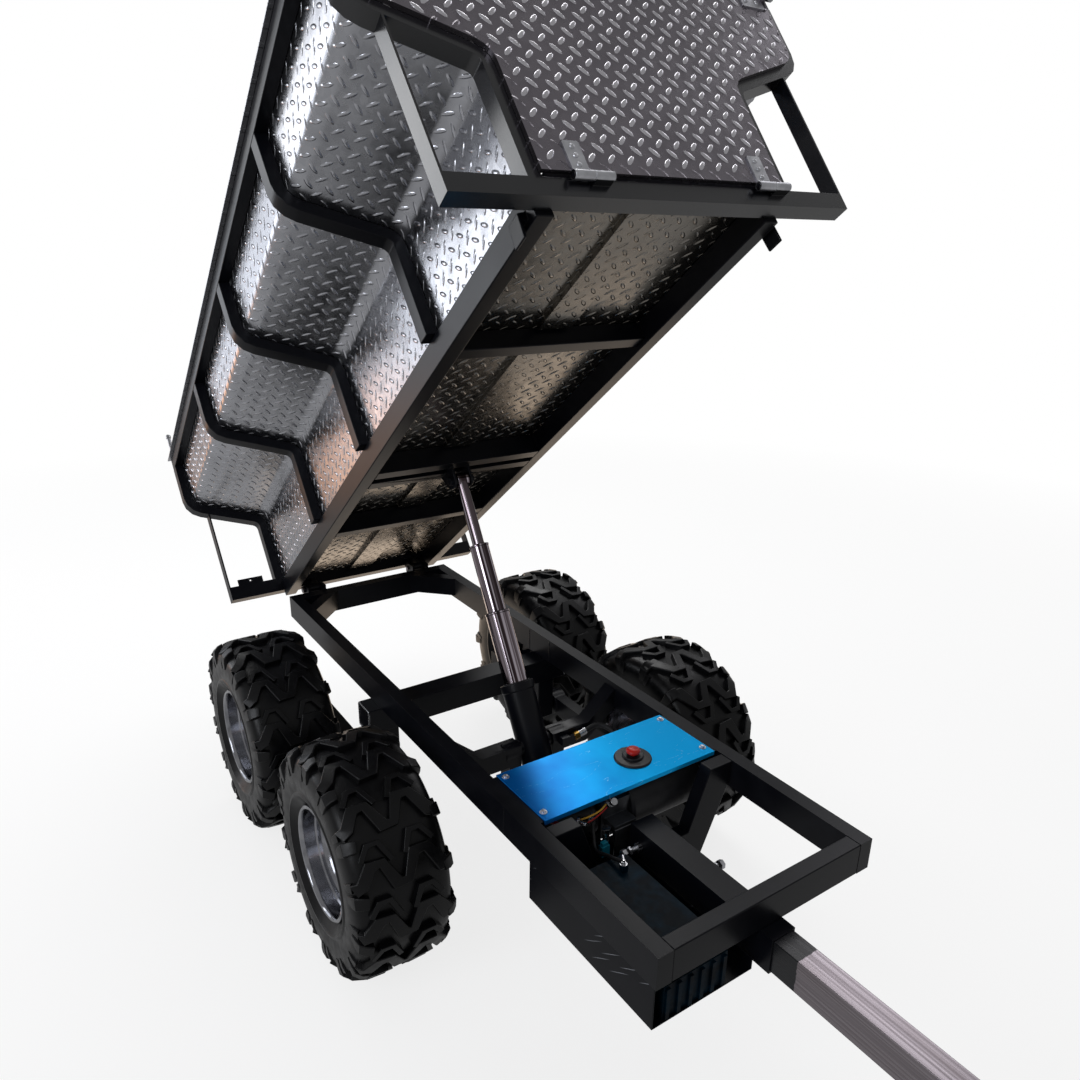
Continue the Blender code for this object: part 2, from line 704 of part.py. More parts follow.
def build_drawbar(drawbar):
    """The telescoping drawbar, its ball coupler and the coupler's handle."""
    half = DRAWBAR_WIDTH / 2
    low = DRAWBAR_Z - DRAWBAR_HEIGHT / 2
    high = DRAWBAR_Z + DRAWBAR_HEIGHT / 2
    bar = square_tube((DRAWBAR_REAR, -half, low), (DRAWBAR_NOSE, half, high), DRAWBAR_WALL)
    node("drawbar", bar, RAW_STEEL, drawbar)

    socket_z = DRAWBAR_Z
    radius = BALL_RADIUS + COUPLER_WALL
    start = DRAWBAR_NOSE + TOUCH
    neck = slab(
        [[(start, -half), (BALL_X, -radius * 0.85), (BALL_X, radius * 0.85), (start, half)]],
        "z",
        socket_z - 0.006,
        high,
    )
    flange = box((start, -half, low), (start + 0.008, half, high))
    dome_top = socket_z + radius
    steps = 6
    dome = [(radius * math.sin(a), dome_top - radius + radius * math.cos(a))
            for a in (math.pi / 2 * i / steps for i in range(steps + 1))]
    dome.append((radius, socket_z - BALL_RADIUS * 0.6))
    dome.append((0, socket_z - BALL_RADIUS * 0.6))
    head = turned(dome, (BALL_X, 0, 0), (0, 0, 1))
    seat_radius = BALL_RADIUS + SLIDING
    seat = [(seat_radius * math.sin(a), socket_z + seat_radius * math.cos(a))
            for a in (math.pi / 2 * i / steps for i in range(steps + 1))]
    seat.append((seat_radius, socket_z - BALL_RADIUS))
    seat.append((0, socket_z - BALL_RADIUS))
    cavity = turned(seat, (BALL_X, 0, 0), (0, 0, 1))
    handle = Vector((start + 0.050, 0, high + HANDLE_RISE))
    ear_outline = rectangle(
        (handle.x - 0.015, high - 0.004), (handle.x + 0.015, handle.z + 0.010), 0.008
    )
    ears = [slab([ear_outline], "y", y, y + 0.005) for y in (-0.0185, 0.0135)]
    pin = rod((handle.x, -0.0205, handle.z), (handle.x, 0.0205, handle.z), HANDLE_PIN_RADIUS, FEW_SIDES)
    node("ball_coupler", cut(fused(neck, flange, head, *ears, pin), cavity), CAST_ALLOY, drawbar)
    return handle


def build_coupler_handle(handle):
    """The handle that locks the ball in the coupler."""
    outline = [
        (-0.012, -0.010),
        (0.012, -0.010),
        (0.050, 0.006),
        (0.090, 0.010),
        (0.090, 0.018),
        (-0.012, 0.012),
    ]
    arm = slab([filleted(outline, [0.006, 0.006, 0.01, 0.003, 0.003, 0.006])], "y", -0.013, 0.013)
    bore = rod((0, -0.02, 0), (0, 0.02, 0), HANDLE_PIN_RADIUS + RUNNING, FEW_SIDES)
    node("coupler_handle", cut(arm, bore), CHROME, handle)


def build_power_bay(chassis):
    """The blue cover plate, its switch, and the battery and hydraulic power pack under it."""
    half = RAIL_INNER - COVER_GAP
    front = COVER_REAR + COVER_LENGTH
    cover = box((COVER_REAR, -half, 0), (front, half, COVER_SHEET))
    folds = [
        box((x, -half, COVER_SHEET - COVER_FOLD), (x + COVER_SHEET, half, COVER_SHEET))
        for x in (COVER_REAR, front - COVER_SHEET)
    ]
    bolts = []
    for x in (COVER_REAR + COVER_BOLT_INSET, front - COVER_BOLT_INSET - 0.009):
        for side in SIDE_NAMES:
            place = (x, side * (half - 0.0155), COVER_SHEET - 0.001)
            bolts.append(hexagon_head(place, (0, 0, 1), 0.010, 0.0065))
    hole = rod(
        (SWITCH_X, SWITCH_Y, -0.02), (SWITCH_X, SWITCH_Y, 0.02), SWITCH_BODY_RADIUS + SLIDING, MANY_SIDES
    )
    node("cover_plate", fused(cut(fused(cover, *folds), hole), *bolts), BLUE_PAINT, chassis)

    rest = COVER_SHEET + TOUCH
    bore = BUTTON_RADIUS * 0.5 + SLIDING
    top = rest + 0.012
    bezel = [
        (bore, top),
        (SWITCH_COLLAR_RADIUS - 0.002, top),
        (SWITCH_COLLAR_RADIUS, top - 0.002),
        (SWITCH_COLLAR_RADIUS, rest + 0.006),
        (SWITCH_RADIUS - 0.003, rest + 0.005),
        (SWITCH_RADIUS, rest + 0.002),
        (SWITCH_RADIUS, rest),
        (SWITCH_BODY_RADIUS, rest),
        (SWITCH_BODY_RADIUS, -0.014),
        (0, -0.014),
        (0, -0.010),
        (bore, -0.010),
    ]
    place = (SWITCH_X, SWITCH_Y, 0)
    node("switch_housing", turned(bezel, place, (0, 0, 1), MANY_SIDES, closed=True), BLACK_PLASTIC, chassis)

    build_power_pack(chassis)
    build_battery(chassis)
    return Vector((SWITCH_X, SWITCH_Y, top))


def build_button(button):
    """The red push button, at rest proud of its collar by its travel."""
    clear = BUTTON_TRAVEL + 0.001
    profile = [
        (0, clear + 0.012),
        (BUTTON_RADIUS * 0.6, clear + 0.0112),
        (BUTTON_RADIUS * 0.9, clear + 0.0085),
        (BUTTON_RADIUS, clear + 0.005),
        (BUTTON_RADIUS * 0.95, clear),
        (BUTTON_RADIUS * 0.5, clear),
        (BUTTON_RADIUS * 0.5, -0.014),
        (0, -0.014),
    ]
    node("stop_button", turned(profile, (0, 0, 0), (0, 0, 1)), RED_PLASTIC, button)


def build_power_pack(chassis):
    """Motor, valve block on its foot, and oil tank, lying across the chassis."""
    length, width, height = BLOCK_SIZE
    low_y, high_y = BLOCK_Y - width / 2, BLOCK_Y + width / 2
    centre = Vector((PACK_X, 0, -PACK_DROP))
    rear, front = PACK_X - length / 2, PACK_X + length / 2
    block_top = -PACK_DROP + height / 2
    block = box((rear, low_y, -PACK_DROP - height / 2), (front, high_y, block_top))
    foot_front = VEE_X - TOUCH
    floor_top = RECEIVER_TOP - RECEIVER_HEIGHT - TOUCH
    foot = box(
        (foot_front - 0.010, low_y + 0.010, floor_top - VEE_HEIGHT * 0.7),
        (foot_front, high_y - 0.010, -PACK_DROP),
    )
    arm = box(
        (PACK_X, low_y + 0.010, -PACK_DROP - 0.010),
        (foot_front - 0.002, high_y - 0.010, -PACK_DROP + 0.010),
    )
    port = rod((rear + 0.004, BLOCK_Y, -PACK_DROP), (rear - 0.020, BLOCK_Y, -PACK_DROP), 0.012, 6)
    valve = rod((PACK_X, BLOCK_Y, block_top - 0.004), (PACK_X, BLOCK_Y, block_top + 0.026), 0.014)
    node("valve_block", fused(block, foot, arm, port, valve), CAST_ALLOY, chassis)

    motor_start = low_y - TOUCH
    motor = [
        (0, 0),
        (MOTOR_RADIUS * 0.8, 0),
        (MOTOR_RADIUS, -0.010),
        (MOTOR_RADIUS, -MOTOR_LENGTH + 0.012),
        (MOTOR_RADIUS * 0.85, -MOTOR_LENGTH),
        (0, -MOTOR_LENGTH),
    ]
    body = turned(motor, centre + Vector((0, motor_start, 0)), (0, 1, 0), MANY_SIDES)
    relay_y = motor_start - MOTOR_LENGTH * 0.55
    relay = rod(
        (PACK_X + 0.020, relay_y - 0.030, -PACK_DROP + MOTOR_RADIUS),
        (PACK_X + 0.020, relay_y + 0.030, -PACK_DROP + MOTOR_RADIUS),
        0.021,
    )
    node("pump_motor", fused(body, relay), BLACK_PAINT, chassis)

    tank_start = high_y + TOUCH
    tank = [
        (0, TANK_LENGTH),
        (TANK_RADIUS - 0.012, TANK_LENGTH),
        (TANK_RADIUS, TANK_LENGTH - 0.012),
        (TANK_RADIUS, 0.006),
        (TANK_RADIUS - 0.006, 0),
        (0, 0),
    ]
    shell = turned(tank, centre + Vector((0, tank_start, 0)), (0, 1, 0), MANY_SIDES)
    filler_y = tank_start + TANK_LENGTH * 0.82
    tank_top = -PACK_DROP + TANK_RADIUS
    filler = rod((PACK_X, filler_y, tank_top - 0.006), (PACK_X, filler_y, tank_top + 0.008), 0.016)
    node("oil_tank", fused(shell, filler), BLACK_PLASTIC, chassis)


def build_battery(chassis):
    """The battery in its tray under the right side rail."""
    receiver_side = -RECEIVER_HALF - 0.0055
    outer = -HALF_WIDTH + 0.001
    top = -CHASSIS_HEIGHT - TOUCH
    bottom = top - TRAY_DEPTH
    front = CHASSIS_LENGTH - 0.005
    vee_front = VEE_X + VEE_DEPTH + TOUCH
    wall = box((TRAY_REAR, outer, bottom), (front, outer + TRAY_SHEET, top))
    floor = box((vee_front, outer, bottom), (front, receiver_side, bottom + TRAY_SHEET))
    lip = box(
        (vee_front, receiver_side - TRAY_SHEET, bottom), (front, receiver_side, bottom + 0.030)
    )
    node("battery_tray", fused(wall, floor, lip), BLACK_PAINT, chassis)

    low_y = outer + TRAY_SHEET + 0.018
    high_y = receiver_side - TRAY_SHEET - BATTERY_GAP
    rear = BATTERY_REAR
    base = bottom + TRAY_SHEET + TOUCH
    lid = -BATTERY_TOP_DROP
    face = CHASSIS_LENGTH - CHASSIS_TUBE - 0.002
    body = slab([rectangle((rear, low_y), (face, high_y), 0.010)], "z", base, lid)
    nose = box((face - 0.010, low_y + 0.010, base), (front - 0.006, high_y - 0.010, lid - 0.004))
    ribs = []
    count = 6
    pitch = (high_y - low_y - 0.040) / (count - 1)
    for index in range(count):
        y = low_y + 0.020 + index * pitch
        ribs.append(box((front - 0.008, y - 0.005, base), (front - 0.001, y + 0.005, lid - 0.010)))
    posts = [
        rod((rear + 0.045, y, lid - 0.004), (rear + 0.045, y, lid + 0.016), 0.010, FEW_SIDES)
        for y in (low_y + 0.040, high_y - 0.040)
    ]
    node("battery", fused(body, nose, *ribs, *posts), BLACK_PLASTIC, chassis)


HOSE_ROUTE = (
    (0.0, 0.0, 0.0),
    (0.001, 0.034, -0.001),
    (0.014, 0.079, -0.010),
    (0.054, 0.112, -0.027),
    (0.109, 0.109, -0.040),
    (0.159, 0.069, -0.040),
    (0.194, -0.006, -0.025),
    (0.211, -0.086, 0.0),
    (0.228, -0.142, 0.020),
)


def smooth_route(points, spacing):
    """Points at an even spacing on a smooth curve through the given ones."""
    path = []
    padded = [points[0] * 2 - points[1], *points, points[-1] * 2 - points[-2]]
    for index in range(1, len(padded) - 2):
        p0, p1, p2, p3 = padded[index - 1:index + 3]
        pieces = max(1, round((p2 - p1).length / spacing))
        for step in range(pieces):
            t = step / pieces
            path.append(
                0.5 * (2 * p1 + (p2 - p0) * t + (2 * p0 - 5 * p1 + 4 * p2 - p3) * t * t
                       + (3 * p1 - p0 - 3 * p2 + p3) * t ** 3)
            )
    path.append(points[-1])
    return path


def build_hose(chassis):
    """The hydraulic hose from the trunnion's fitting forward to the valve block."""
    port = Vector((PACK_X - BLOCK_SIZE[0] / 2 - 0.020 - TOUCH, BLOCK_Y, -PACK_DROP))
    points = [HOSE_START + Vector(step) for step in HOSE_ROUTE]
    points.append(port - Vector((0.012, 0, 0)))
    points.append(port)
    curve = bpy.data.curves.new("hydraulic_hose", "CURVE")
    curve.dimensions = "3D"
    curve.bevel_depth = HOSE_RADIUS
    curve.bevel_resolution = 2
    curve.use_fill_caps = True
    spline = curve.splines.new("POLY")
    path = smooth_route(points, 5 * HOSE_RADIUS)
    spline.points.add(len(path) - 1)
    for point, place in zip(spline.points, path):
        point.co = (*place, 1)
    hose = bpy.data.objects.new("hydraulic_hose", curve)
    curve.materials.append(HOSE_RUBBER)
    PARTS.objects.link(hose)
    hose.parent = chassis


def build_cylinder(barrel, stages):
    """The telescopic cylinder: a barrel on trunnions, two hollow stages and the rod with its eye."""
    inner = STAGE_RADII[0] + RUNNING
    profile = [
        (inner, BARREL_REACH),
        (BARREL_RADIUS + BARREL_COLLAR, BARREL_REACH),
        (BARREL_RADIUS + BARREL_COLLAR, BARREL_REACH - 0.022),
        (BARREL_RADIUS, BARREL_REACH - 0.024),
        (BARREL_RADIUS, -BARREL_TAIL + 0.006),
        (BARREL_RADIUS - 0.006, -BARREL_TAIL),
        (0, -BARREL_TAIL),
        (0, -BARREL_TAIL + BARREL_WALL),
        (inner, -BARREL_TAIL + BARREL_WALL),
    ]
    body = turned(profile, (0, 0, 0), (0, 0, 1), MANY_SIDES, closed=True)
    trunnions = []
    for side in SIDE_NAMES:
        reach = CRADLE_INNER + CRADLE_BOSS_LENGTH - 0.008
        trunnions.append(rod((0, side * (inner + 0.002), 0), (0, side * reach, 0), TRUNNION_RADIUS))
        trunnions.append(rod((0, side * (inner + 0.002), 0), (0, side * (BARREL_RADIUS + 0.005), 0), 0.022))
    node("cylinder_barrel", fused(body, *trunnions), BLACK_PAINT, barrel)

    extension = 0.0
    for index, stage in enumerate(stages[:2]):
        extension += STAGE_SHARES[index] * TRAVEL
        radius = STAGE_RADII[index]
        inner = STAGE_RADII[index + 1] + RUNNING
        top = BARREL_REACH + (index + 1) * STAGE_HEAD + extension
        bottom = -BARREL_TAIL + BARREL_WALL + 0.004 * (index + 1) + extension
        profile = [
            (inner, top),
            (radius - 0.001, top),
            (radius, top - 0.001),
            (radius, bottom),
            (inner, bottom),
        ]
        node(
            f"cylinder_stage_{index + 1}",
            turned(profile, (0, 0, 0), (0, 0, 1), MANY_SIDES, closed=True),
            CHROME,
            stage,
        )

    radius = STAGE_RADII[2]
    bottom = -BARREL_TAIL + BARREL_WALL + 0.012 + TRAVEL
    shank = rod((0, 0, bottom), (0, 0, RAISED_LENGTH - EYE_RADIUS * 0.5), radius, MANY_SIDES)
    eye_half = EYE_WIDTH / 2
    eye = rod((0, -eye_half, RAISED_LENGTH), (0, eye_half, RAISED_LENGTH), EYE_RADIUS, SIDES)
    pin_half = eye_half + 0.0045
    pin = rod((0, -pin_half, RAISED_LENGTH), (0, pin_half, RAISED_LENGTH), BED_PIN_RADIUS, FEW_SIDES)
    node("cylinder_rod", fused(shank, eye, pin), CHROME, stages[2])


def build_walking_beam(side, beam):
    """A beam with a stub axle at each end, which rocks about the axle tube's shaft."""
    name = SIDE_NAMES[side]
    reach = AXLE_SPACING / 2 + BEAM_END
    low, high = sorted((side * BEAM_INNER_Y, side * BEAM_OUTER_Y))
    bar = slab(
        [rectangle((-reach, -BEAM_HEIGHT / 2), (reach, BEAM_HEIGHT / 2), 0.006)], "y", low, high
    )
    inner = side * (BEAM_INNER_Y - 0.004)
    outer = side * (BEAM_OUTER_Y + 0.004)
    bush = rod((0, inner, 0), (0, outer, 0), BEAM_BUSH_RADIUS, MANY_SIDES)
    bore = rod((0, inner - side * 0.01, 0), (0, outer + side * 0.01, 0), BEAM_SHAFT_RADIUS + RUNNING)
    stub_end = side * (WHEEL_Y + HUB_BORE_END - SLIDING)
    stubs = [
        rod((x, side * (BEAM_OUTER_Y - 0.005), 0), (x, stub_end, 0), STUB_RADIUS)
        for x in (-AXLE_SPACING / 2, AXLE_SPACING / 2)
    ]
    node(f"walking_beam_{name}", cut(fused(bar, bush, *stubs), bore), BLACK_PAINT, beam)


def build_wheel(side, place, wheel):
    """A steel wheel with its hub, and the lugged tyre on it."""
    name = f"{place}_{SIDE_NAMES[side]}"
    out = (0, side, 0)
    edge = RIM_WIDTH / 2
    bore = STUB_RADIUS + RUNNING
    hub_inner = -(WHEEL_Y - BEAM_OUTER_Y) + 0.010
    sheet = RIM_SHEET
    profile = [
        (0, HUB_CAP_END),
        (HUB_CAP_RADIUS - 0.003, HUB_CAP_END),
        (HUB_CAP_RADIUS, 0.018),
        (RIM_WELL - 0.030, 0.018),
        (RIM_WELL - sheet, 0.040),
        (RIM_WELL + 0.007, 0.058),
        (RIM_RADIUS - 0.013, edge - 0.026),
        (RIM_RADIUS - 0.012, edge - 0.006),
        (RIM_RADIUS - 0.004, edge),
        (RIM_RADIUS, edge - 0.003),
        (RIM_RADIUS - 0.0075, edge - 0.012),
        (RIM_RADIUS - 0.0075, edge - 0.031),
        (RIM_WELL, 0.040),
        (RIM_WELL, -0.060),
        (RIM_RADIUS - 0.0075, -edge + 0.030),
        (RIM_RADIUS - 0.0075, -edge + 0.012),
        (RIM_RADIUS, -edge + 0.003),
        (RIM_RADIUS - 0.012, -edge + 0.003),
        (RIM_WELL - sheet, -0.056),
        (RIM_WELL - sheet, 0.022),
        (HUB_RADIUS, 0.010),
        (HUB_RADIUS, hub_inner),
        (bore, hub_inner),
        (bore, HUB_BORE_END),
        (0, HUB_BORE_END),
    ]
    disc = turned(profile, (0, 0, 0), out, SIDES)
    node(f"wheel_{name}", disc, WHEEL_STEEL, wheel)
    node(f"tyre_{name}", tyre_shape(out), RUBBER, wheel, smooth_angle=50)


def tyre_shape(out):
    """A tyre of even wall, with zig-zag lugs that run across the tread and over its shoulders."""
    base = TYRE_RADIUS - TREAD_DEPTH
    half = TYRE_WIDTH / 2
    steps = 2 * TREAD_LUGS
    bead = (RIM_RADIUS - 0.0075 + TOUCH) / math.cos(math.pi / steps)
    flange = RIM_WIDTH / 2
    outer = [
        (bead + 0.0125, flange - 0.0135),
        (bead + 0.040, half - 0.002),
        (bead + 0.100, half),
        (base - 0.018, half - 0.010),
        (base - 0.004, half - 0.030),
        (base, half - 0.075),
        (base, 0),
    ]
    inner = [
        (base - TYRE_WALL, half - 0.045),
        (bead + 0.085, half - TYRE_WALL),
        (bead, flange - 0.026),
    ]
    bead_end = [(bead, flange - 0.0135)]
    outside = outer + [(radius, -height) for radius, height in reversed(outer[:-1])]
    right = [(radius, -height) for radius, height in bead_end + inner[::-1]]
    left = inner + bead_end
    shape = turned(outside + right + left, (0, 0, 0), (0, 0, 1), steps, closed=True)

    bm = bmesh.new()
    bm.from_mesh(shape.data)
    bpy.data.objects.remove(shape, do_unlink=True)
    pitch = 2 * math.pi / steps
    tread_edge = half - 0.011
    lugs = []
    for face in bm.faces:
        centre = face.calc_center_median()
        radius = math.hypot(centre.x, centre.y)
        column = math.floor(math.atan2(centre.y, centre.x) / pitch + 1e-6)
        if radius > base - 0.013 and abs(centre.z) < tread_edge and column % 2 == 0:
            lugs.append(face)
    raised_region = bmesh.ops.extrude_face_region(bm, geom=lugs)
    bmesh.ops.delete(bm, geom=lugs, context="FACES")
    top = [item for item in raised_region["geom"] if isinstance(item, bmesh.types.BMVert)]
    for vertex in top:
        out_way = Vector((vertex.co.x, vertex.co.y, 0)).normalized()
        lift = TYRE_RADIUS - math.hypot(vertex.co.x, vertex.co.y)
        shoulder = abs(vertex.co.z) > half - 0.020
        vertex.co += out_way * (TREAD_DEPTH * 0.6 if shoulder else lift)
    for vertex in bm.verts:
        radius = math.hypot(vertex.co.x, vertex.co.y)
        if radius > base - 0.020:
            share = min(abs(vertex.co.z) / (half - 0.030), 1.0)
            twist = Matrix.Rotation(pitch * 0.55 * (share if share < 0.6 else 1.2 - share), 3, "Z")
            vertex.co = twist @ vertex.co
    bmesh.ops.rotate(
        bm,
        verts=bm.verts,
        cent=(0, 0, 0),
        matrix=Vector((0, 0, 1)).rotation_difference(Vector(out)).to_matrix(),
    )
    return shape_from(bm)


def end_frame(front):
    """A bar across one end of the bed with a stepped rib and an upright on each side, and gate hinges."""
    if front:
        low_x, high_x = BED_FRONT - BED_TUBE, BED_FRONT
        bottom = RAIL_UNDERSIDE + FRONT_BAR_RISE
        top = bottom + BED_TUBE
        out, rise = 1, HINGE_RISE
    else:
        low_x, high_x = BED_REAR, BED_REAR + BED_TUBE
        bottom = RAIL_UNDERSIDE + REAR_BAR_RISE
        top = bottom + REAR_BAR_HEIGHT
        out, rise = -1, REAR_HINGE_RISE
    face = high_x if front else low_x
    bar = box((low_x, -BAR_HALF, bottom), (high_x, BAR_HALF, top))
    band = stepped_band(RIB_OFFSET, RIB_OFFSET + RIB, top - 0.004, BED_TOP - TOP_RAIL_HEIGHT - TOUCH)
    shelf = FLOOR_TOP + SHELF_RISE + (BAR_HALF - FLOOR_HALF) * math.tan(SHELF_ANGLE)
    upright_top = shelf - (RIB_OFFSET + RIB / 2) / math.cos(SHELF_ANGLE)
    pieces = []
    for side in SIDE_NAMES:
        pieces.append(slab([mirrored(band, side)], "x", low_x, high_x))
        edges = sorted((side * (BAR_HALF - UPRIGHT_SHEET), side * BAR_HALF))
        pieces.append(box((low_x, edges[0], bottom + 0.001), (high_x, edges[1], upright_top)))
    axis_x = face + out * HINGE_STANDOFF
    for y in HINGE_Y:
        start = y + HINGE_LENGTH / 2 + SLIDING
        tube = rod((axis_x, start, rise), (axis_x, start + HINGE_LENGTH, rise), HINGE_RADIUS, FEW_SIDES)
        pin_ends = ((axis_x, y - HINGE_LENGTH / 2, rise), (axis_x, start + 0.004, rise))
        pin = rod(*pin_ends, HINGE_PIN_RADIUS, FEW_SIDES)
        near, far = sorted((face - out * 0.004, axis_x + out * 0.0013))
        seat = box((near, start + 0.002, top - 0.014), (far, start + HINGE_LENGTH - 0.002, rise + 0.0017))
        pieces.extend((tube, pin, seat))
    if not front:
        pieces.extend(lamp_brackets(face, top))
        pieces.extend(bed_pivot_barrels(bottom))
    return bar, pieces


def lamp_brackets(face, top):
    """The tee plates on the rear bar that lamps are screwed to."""
    plates = []
    for side in SIDE_NAMES:
        middle = side * LAMP_Y
        outline = [
            (middle - 0.025, top - 0.010),
            (middle + 0.025, top - 0.010),
            (middle + 0.025, top + 0.008),
            (middle + 0.046, top + 0.008),
            (middle + 0.046, top + 0.034),
            (middle - 0.046, top + 0.034),
            (middle - 0.046, top + 0.008),
            (middle - 0.025, top + 0.008),
        ]
        hole = circle((middle, top + 0.024), 0.0035, 8)
        plates.append(slab([outline, hole], "x", face, face + 0.004))
    return plates


def bed_pivot_barrels(bar_bottom):
    """The bored barrels under the rear bar that turn on the pivot pins."""
    barrels = []
    for side in SIDE_NAMES:
        low, high = sorted(
            (side * (PIVOT_Y - PIVOT_BARREL_LENGTH / 2), side * (PIVOT_Y + PIVOT_BARREL_LENGTH / 2))
        )
        rear = BED_REAR + BED_TUBE
        web = [
            (-0.010, -0.012),
            (0.006, PIVOT_BARREL_RADIUS - 0.002),
            (rear + 0.004, RAIL_TOP - 0.010),
            (rear - 0.012, RAIL_TOP - 0.010),
            (rear - 0.012, bar_bottom - 0.001),
        ]
        bore = (PIVOT_PIN_RADIUS + RUNNING) / math.cos(math.pi / FEW_SIDES)
        hole = circle((0, 0), bore, FEW_SIDES)
        barrel = slab([circle((0, 0), PIVOT_BARREL_RADIUS, SIDES)], "y", low, high)
        block = fused(barrel, slab([web], "y", low + 0.004, high - 0.004))
        barrels.append(cut(block, slab([hole], "y", low - 0.01, high + 0.01)))
    return barrels


def build_bed_frame(bed):
    """Floor rails, crossmembers and the two end frames of the bed."""
    front_bar_rear = BED_FRONT - BED_TUBE - TOUCH
    rear_bar_front = BED_REAR + BED_TUBE + TOUCH
    for side, name in SIDE_NAMES.items():
        edges = sorted((side * (RAIL_HALF - BED_TUBE), side * RAIL_HALF))
        rail = box((rear_bar_front, edges[0], RAIL_UNDERSIDE), (front_bar_rear, edges[1], RAIL_TOP))
        start = BED_FRONT - 0.105
        inner = HALF_WIDTH + GUIDE_GAP
        blade = [
            (RAIL_HALF - 0.002, RAIL_UNDERSIDE + 0.030),
            (inner + GUIDE_SHEET, RAIL_UNDERSIDE + 0.026),
            (inner + GUIDE_SHEET + 0.004, RAIL_UNDERSIDE - 0.026),
            (inner + 0.004, RAIL_UNDERSIDE - 0.026),
            (inner, RAIL_UNDERSIDE + 0.008),
            (RAIL_HALF - 0.002, RAIL_UNDERSIDE + 0.012),
        ]
        guide = slab([mirrored(blade, side)], "x", start, start + BED_TUBE)
        node(f"bed_rail_{name}", fused(rail, guide), BLACK_PAINT, bed)

    half = RAIL_HALF - BED_TUBE - TOUCH
    crossmembers = (("front", CROSSMEMBER_FRONT, COVER_CLEARANCE), ("rear", CROSSMEMBER_REAR, 0))
    for name, station, rise in crossmembers:
        x = BED_FRONT - station
        member = box((x - BED_TUBE / 2, -half, RAIL_UNDERSIDE + rise), (x + BED_TUBE / 2, half, RAIL_TOP))
        node(f"floor_crossmember_{name}", member, BLACK_PAINT, bed)

    ahead = BED_PIN_X + MOUNT_AHEAD
    behind = BED_PIN_X - MOUNT_BEHIND
    member = box((ahead - BED_TUBE / 2, -half, RAIL_UNDERSIDE), (ahead + BED_TUBE / 2, half, RAIL_TOP))
    second = box((behind - BED_TUBE / 2, -half, RAIL_UNDERSIDE), (behind + BED_TUBE / 2, half, RAIL_TOP))
    inner = EYE_WIDTH / 2 + 0.0045 + SLIDING
    ears = []
    for side in SIDE_NAMES:
        edges = sorted((side * inner, side * (inner + EAR_SHEET)))
        ear = filleted(
            [
                (behind - BED_TUBE / 2, RAIL_UNDERSIDE + 0.002),
                (BED_PIN_X - 0.024, -BED_PIN_DROP - 0.022),
                (BED_PIN_X + 0.020, -BED_PIN_DROP - 0.022),
                (BED_PIN_X + 0.026, RAIL_UNDERSIDE + 0.002),
            ],
            [0, 0.020, 0.020, 0],
        )
        tall = ear + [(BED_PIN_X + 0.026, RAIL_TOP - 0.02), (behind - BED_TUBE / 2, RAIL_TOP - 0.02)]
        ears.append(slab([tall], "y", *edges))
        head = Vector((BED_PIN_X, side * (inner + EAR_SHEET - 0.001), -BED_PIN_DROP))
        ears.append(hexagon_head(head, (0, side, 0), 0.024, 0.010))
    node("cylinder_mount", fused(member, second, *ears), BLACK_PAINT, bed)

    for name, front in (("front", True), ("rear", False)):
        bar, pieces = end_frame(front)
        node(f"{name}_frame", fused(bar, *pieces), BLACK_PAINT, bed)


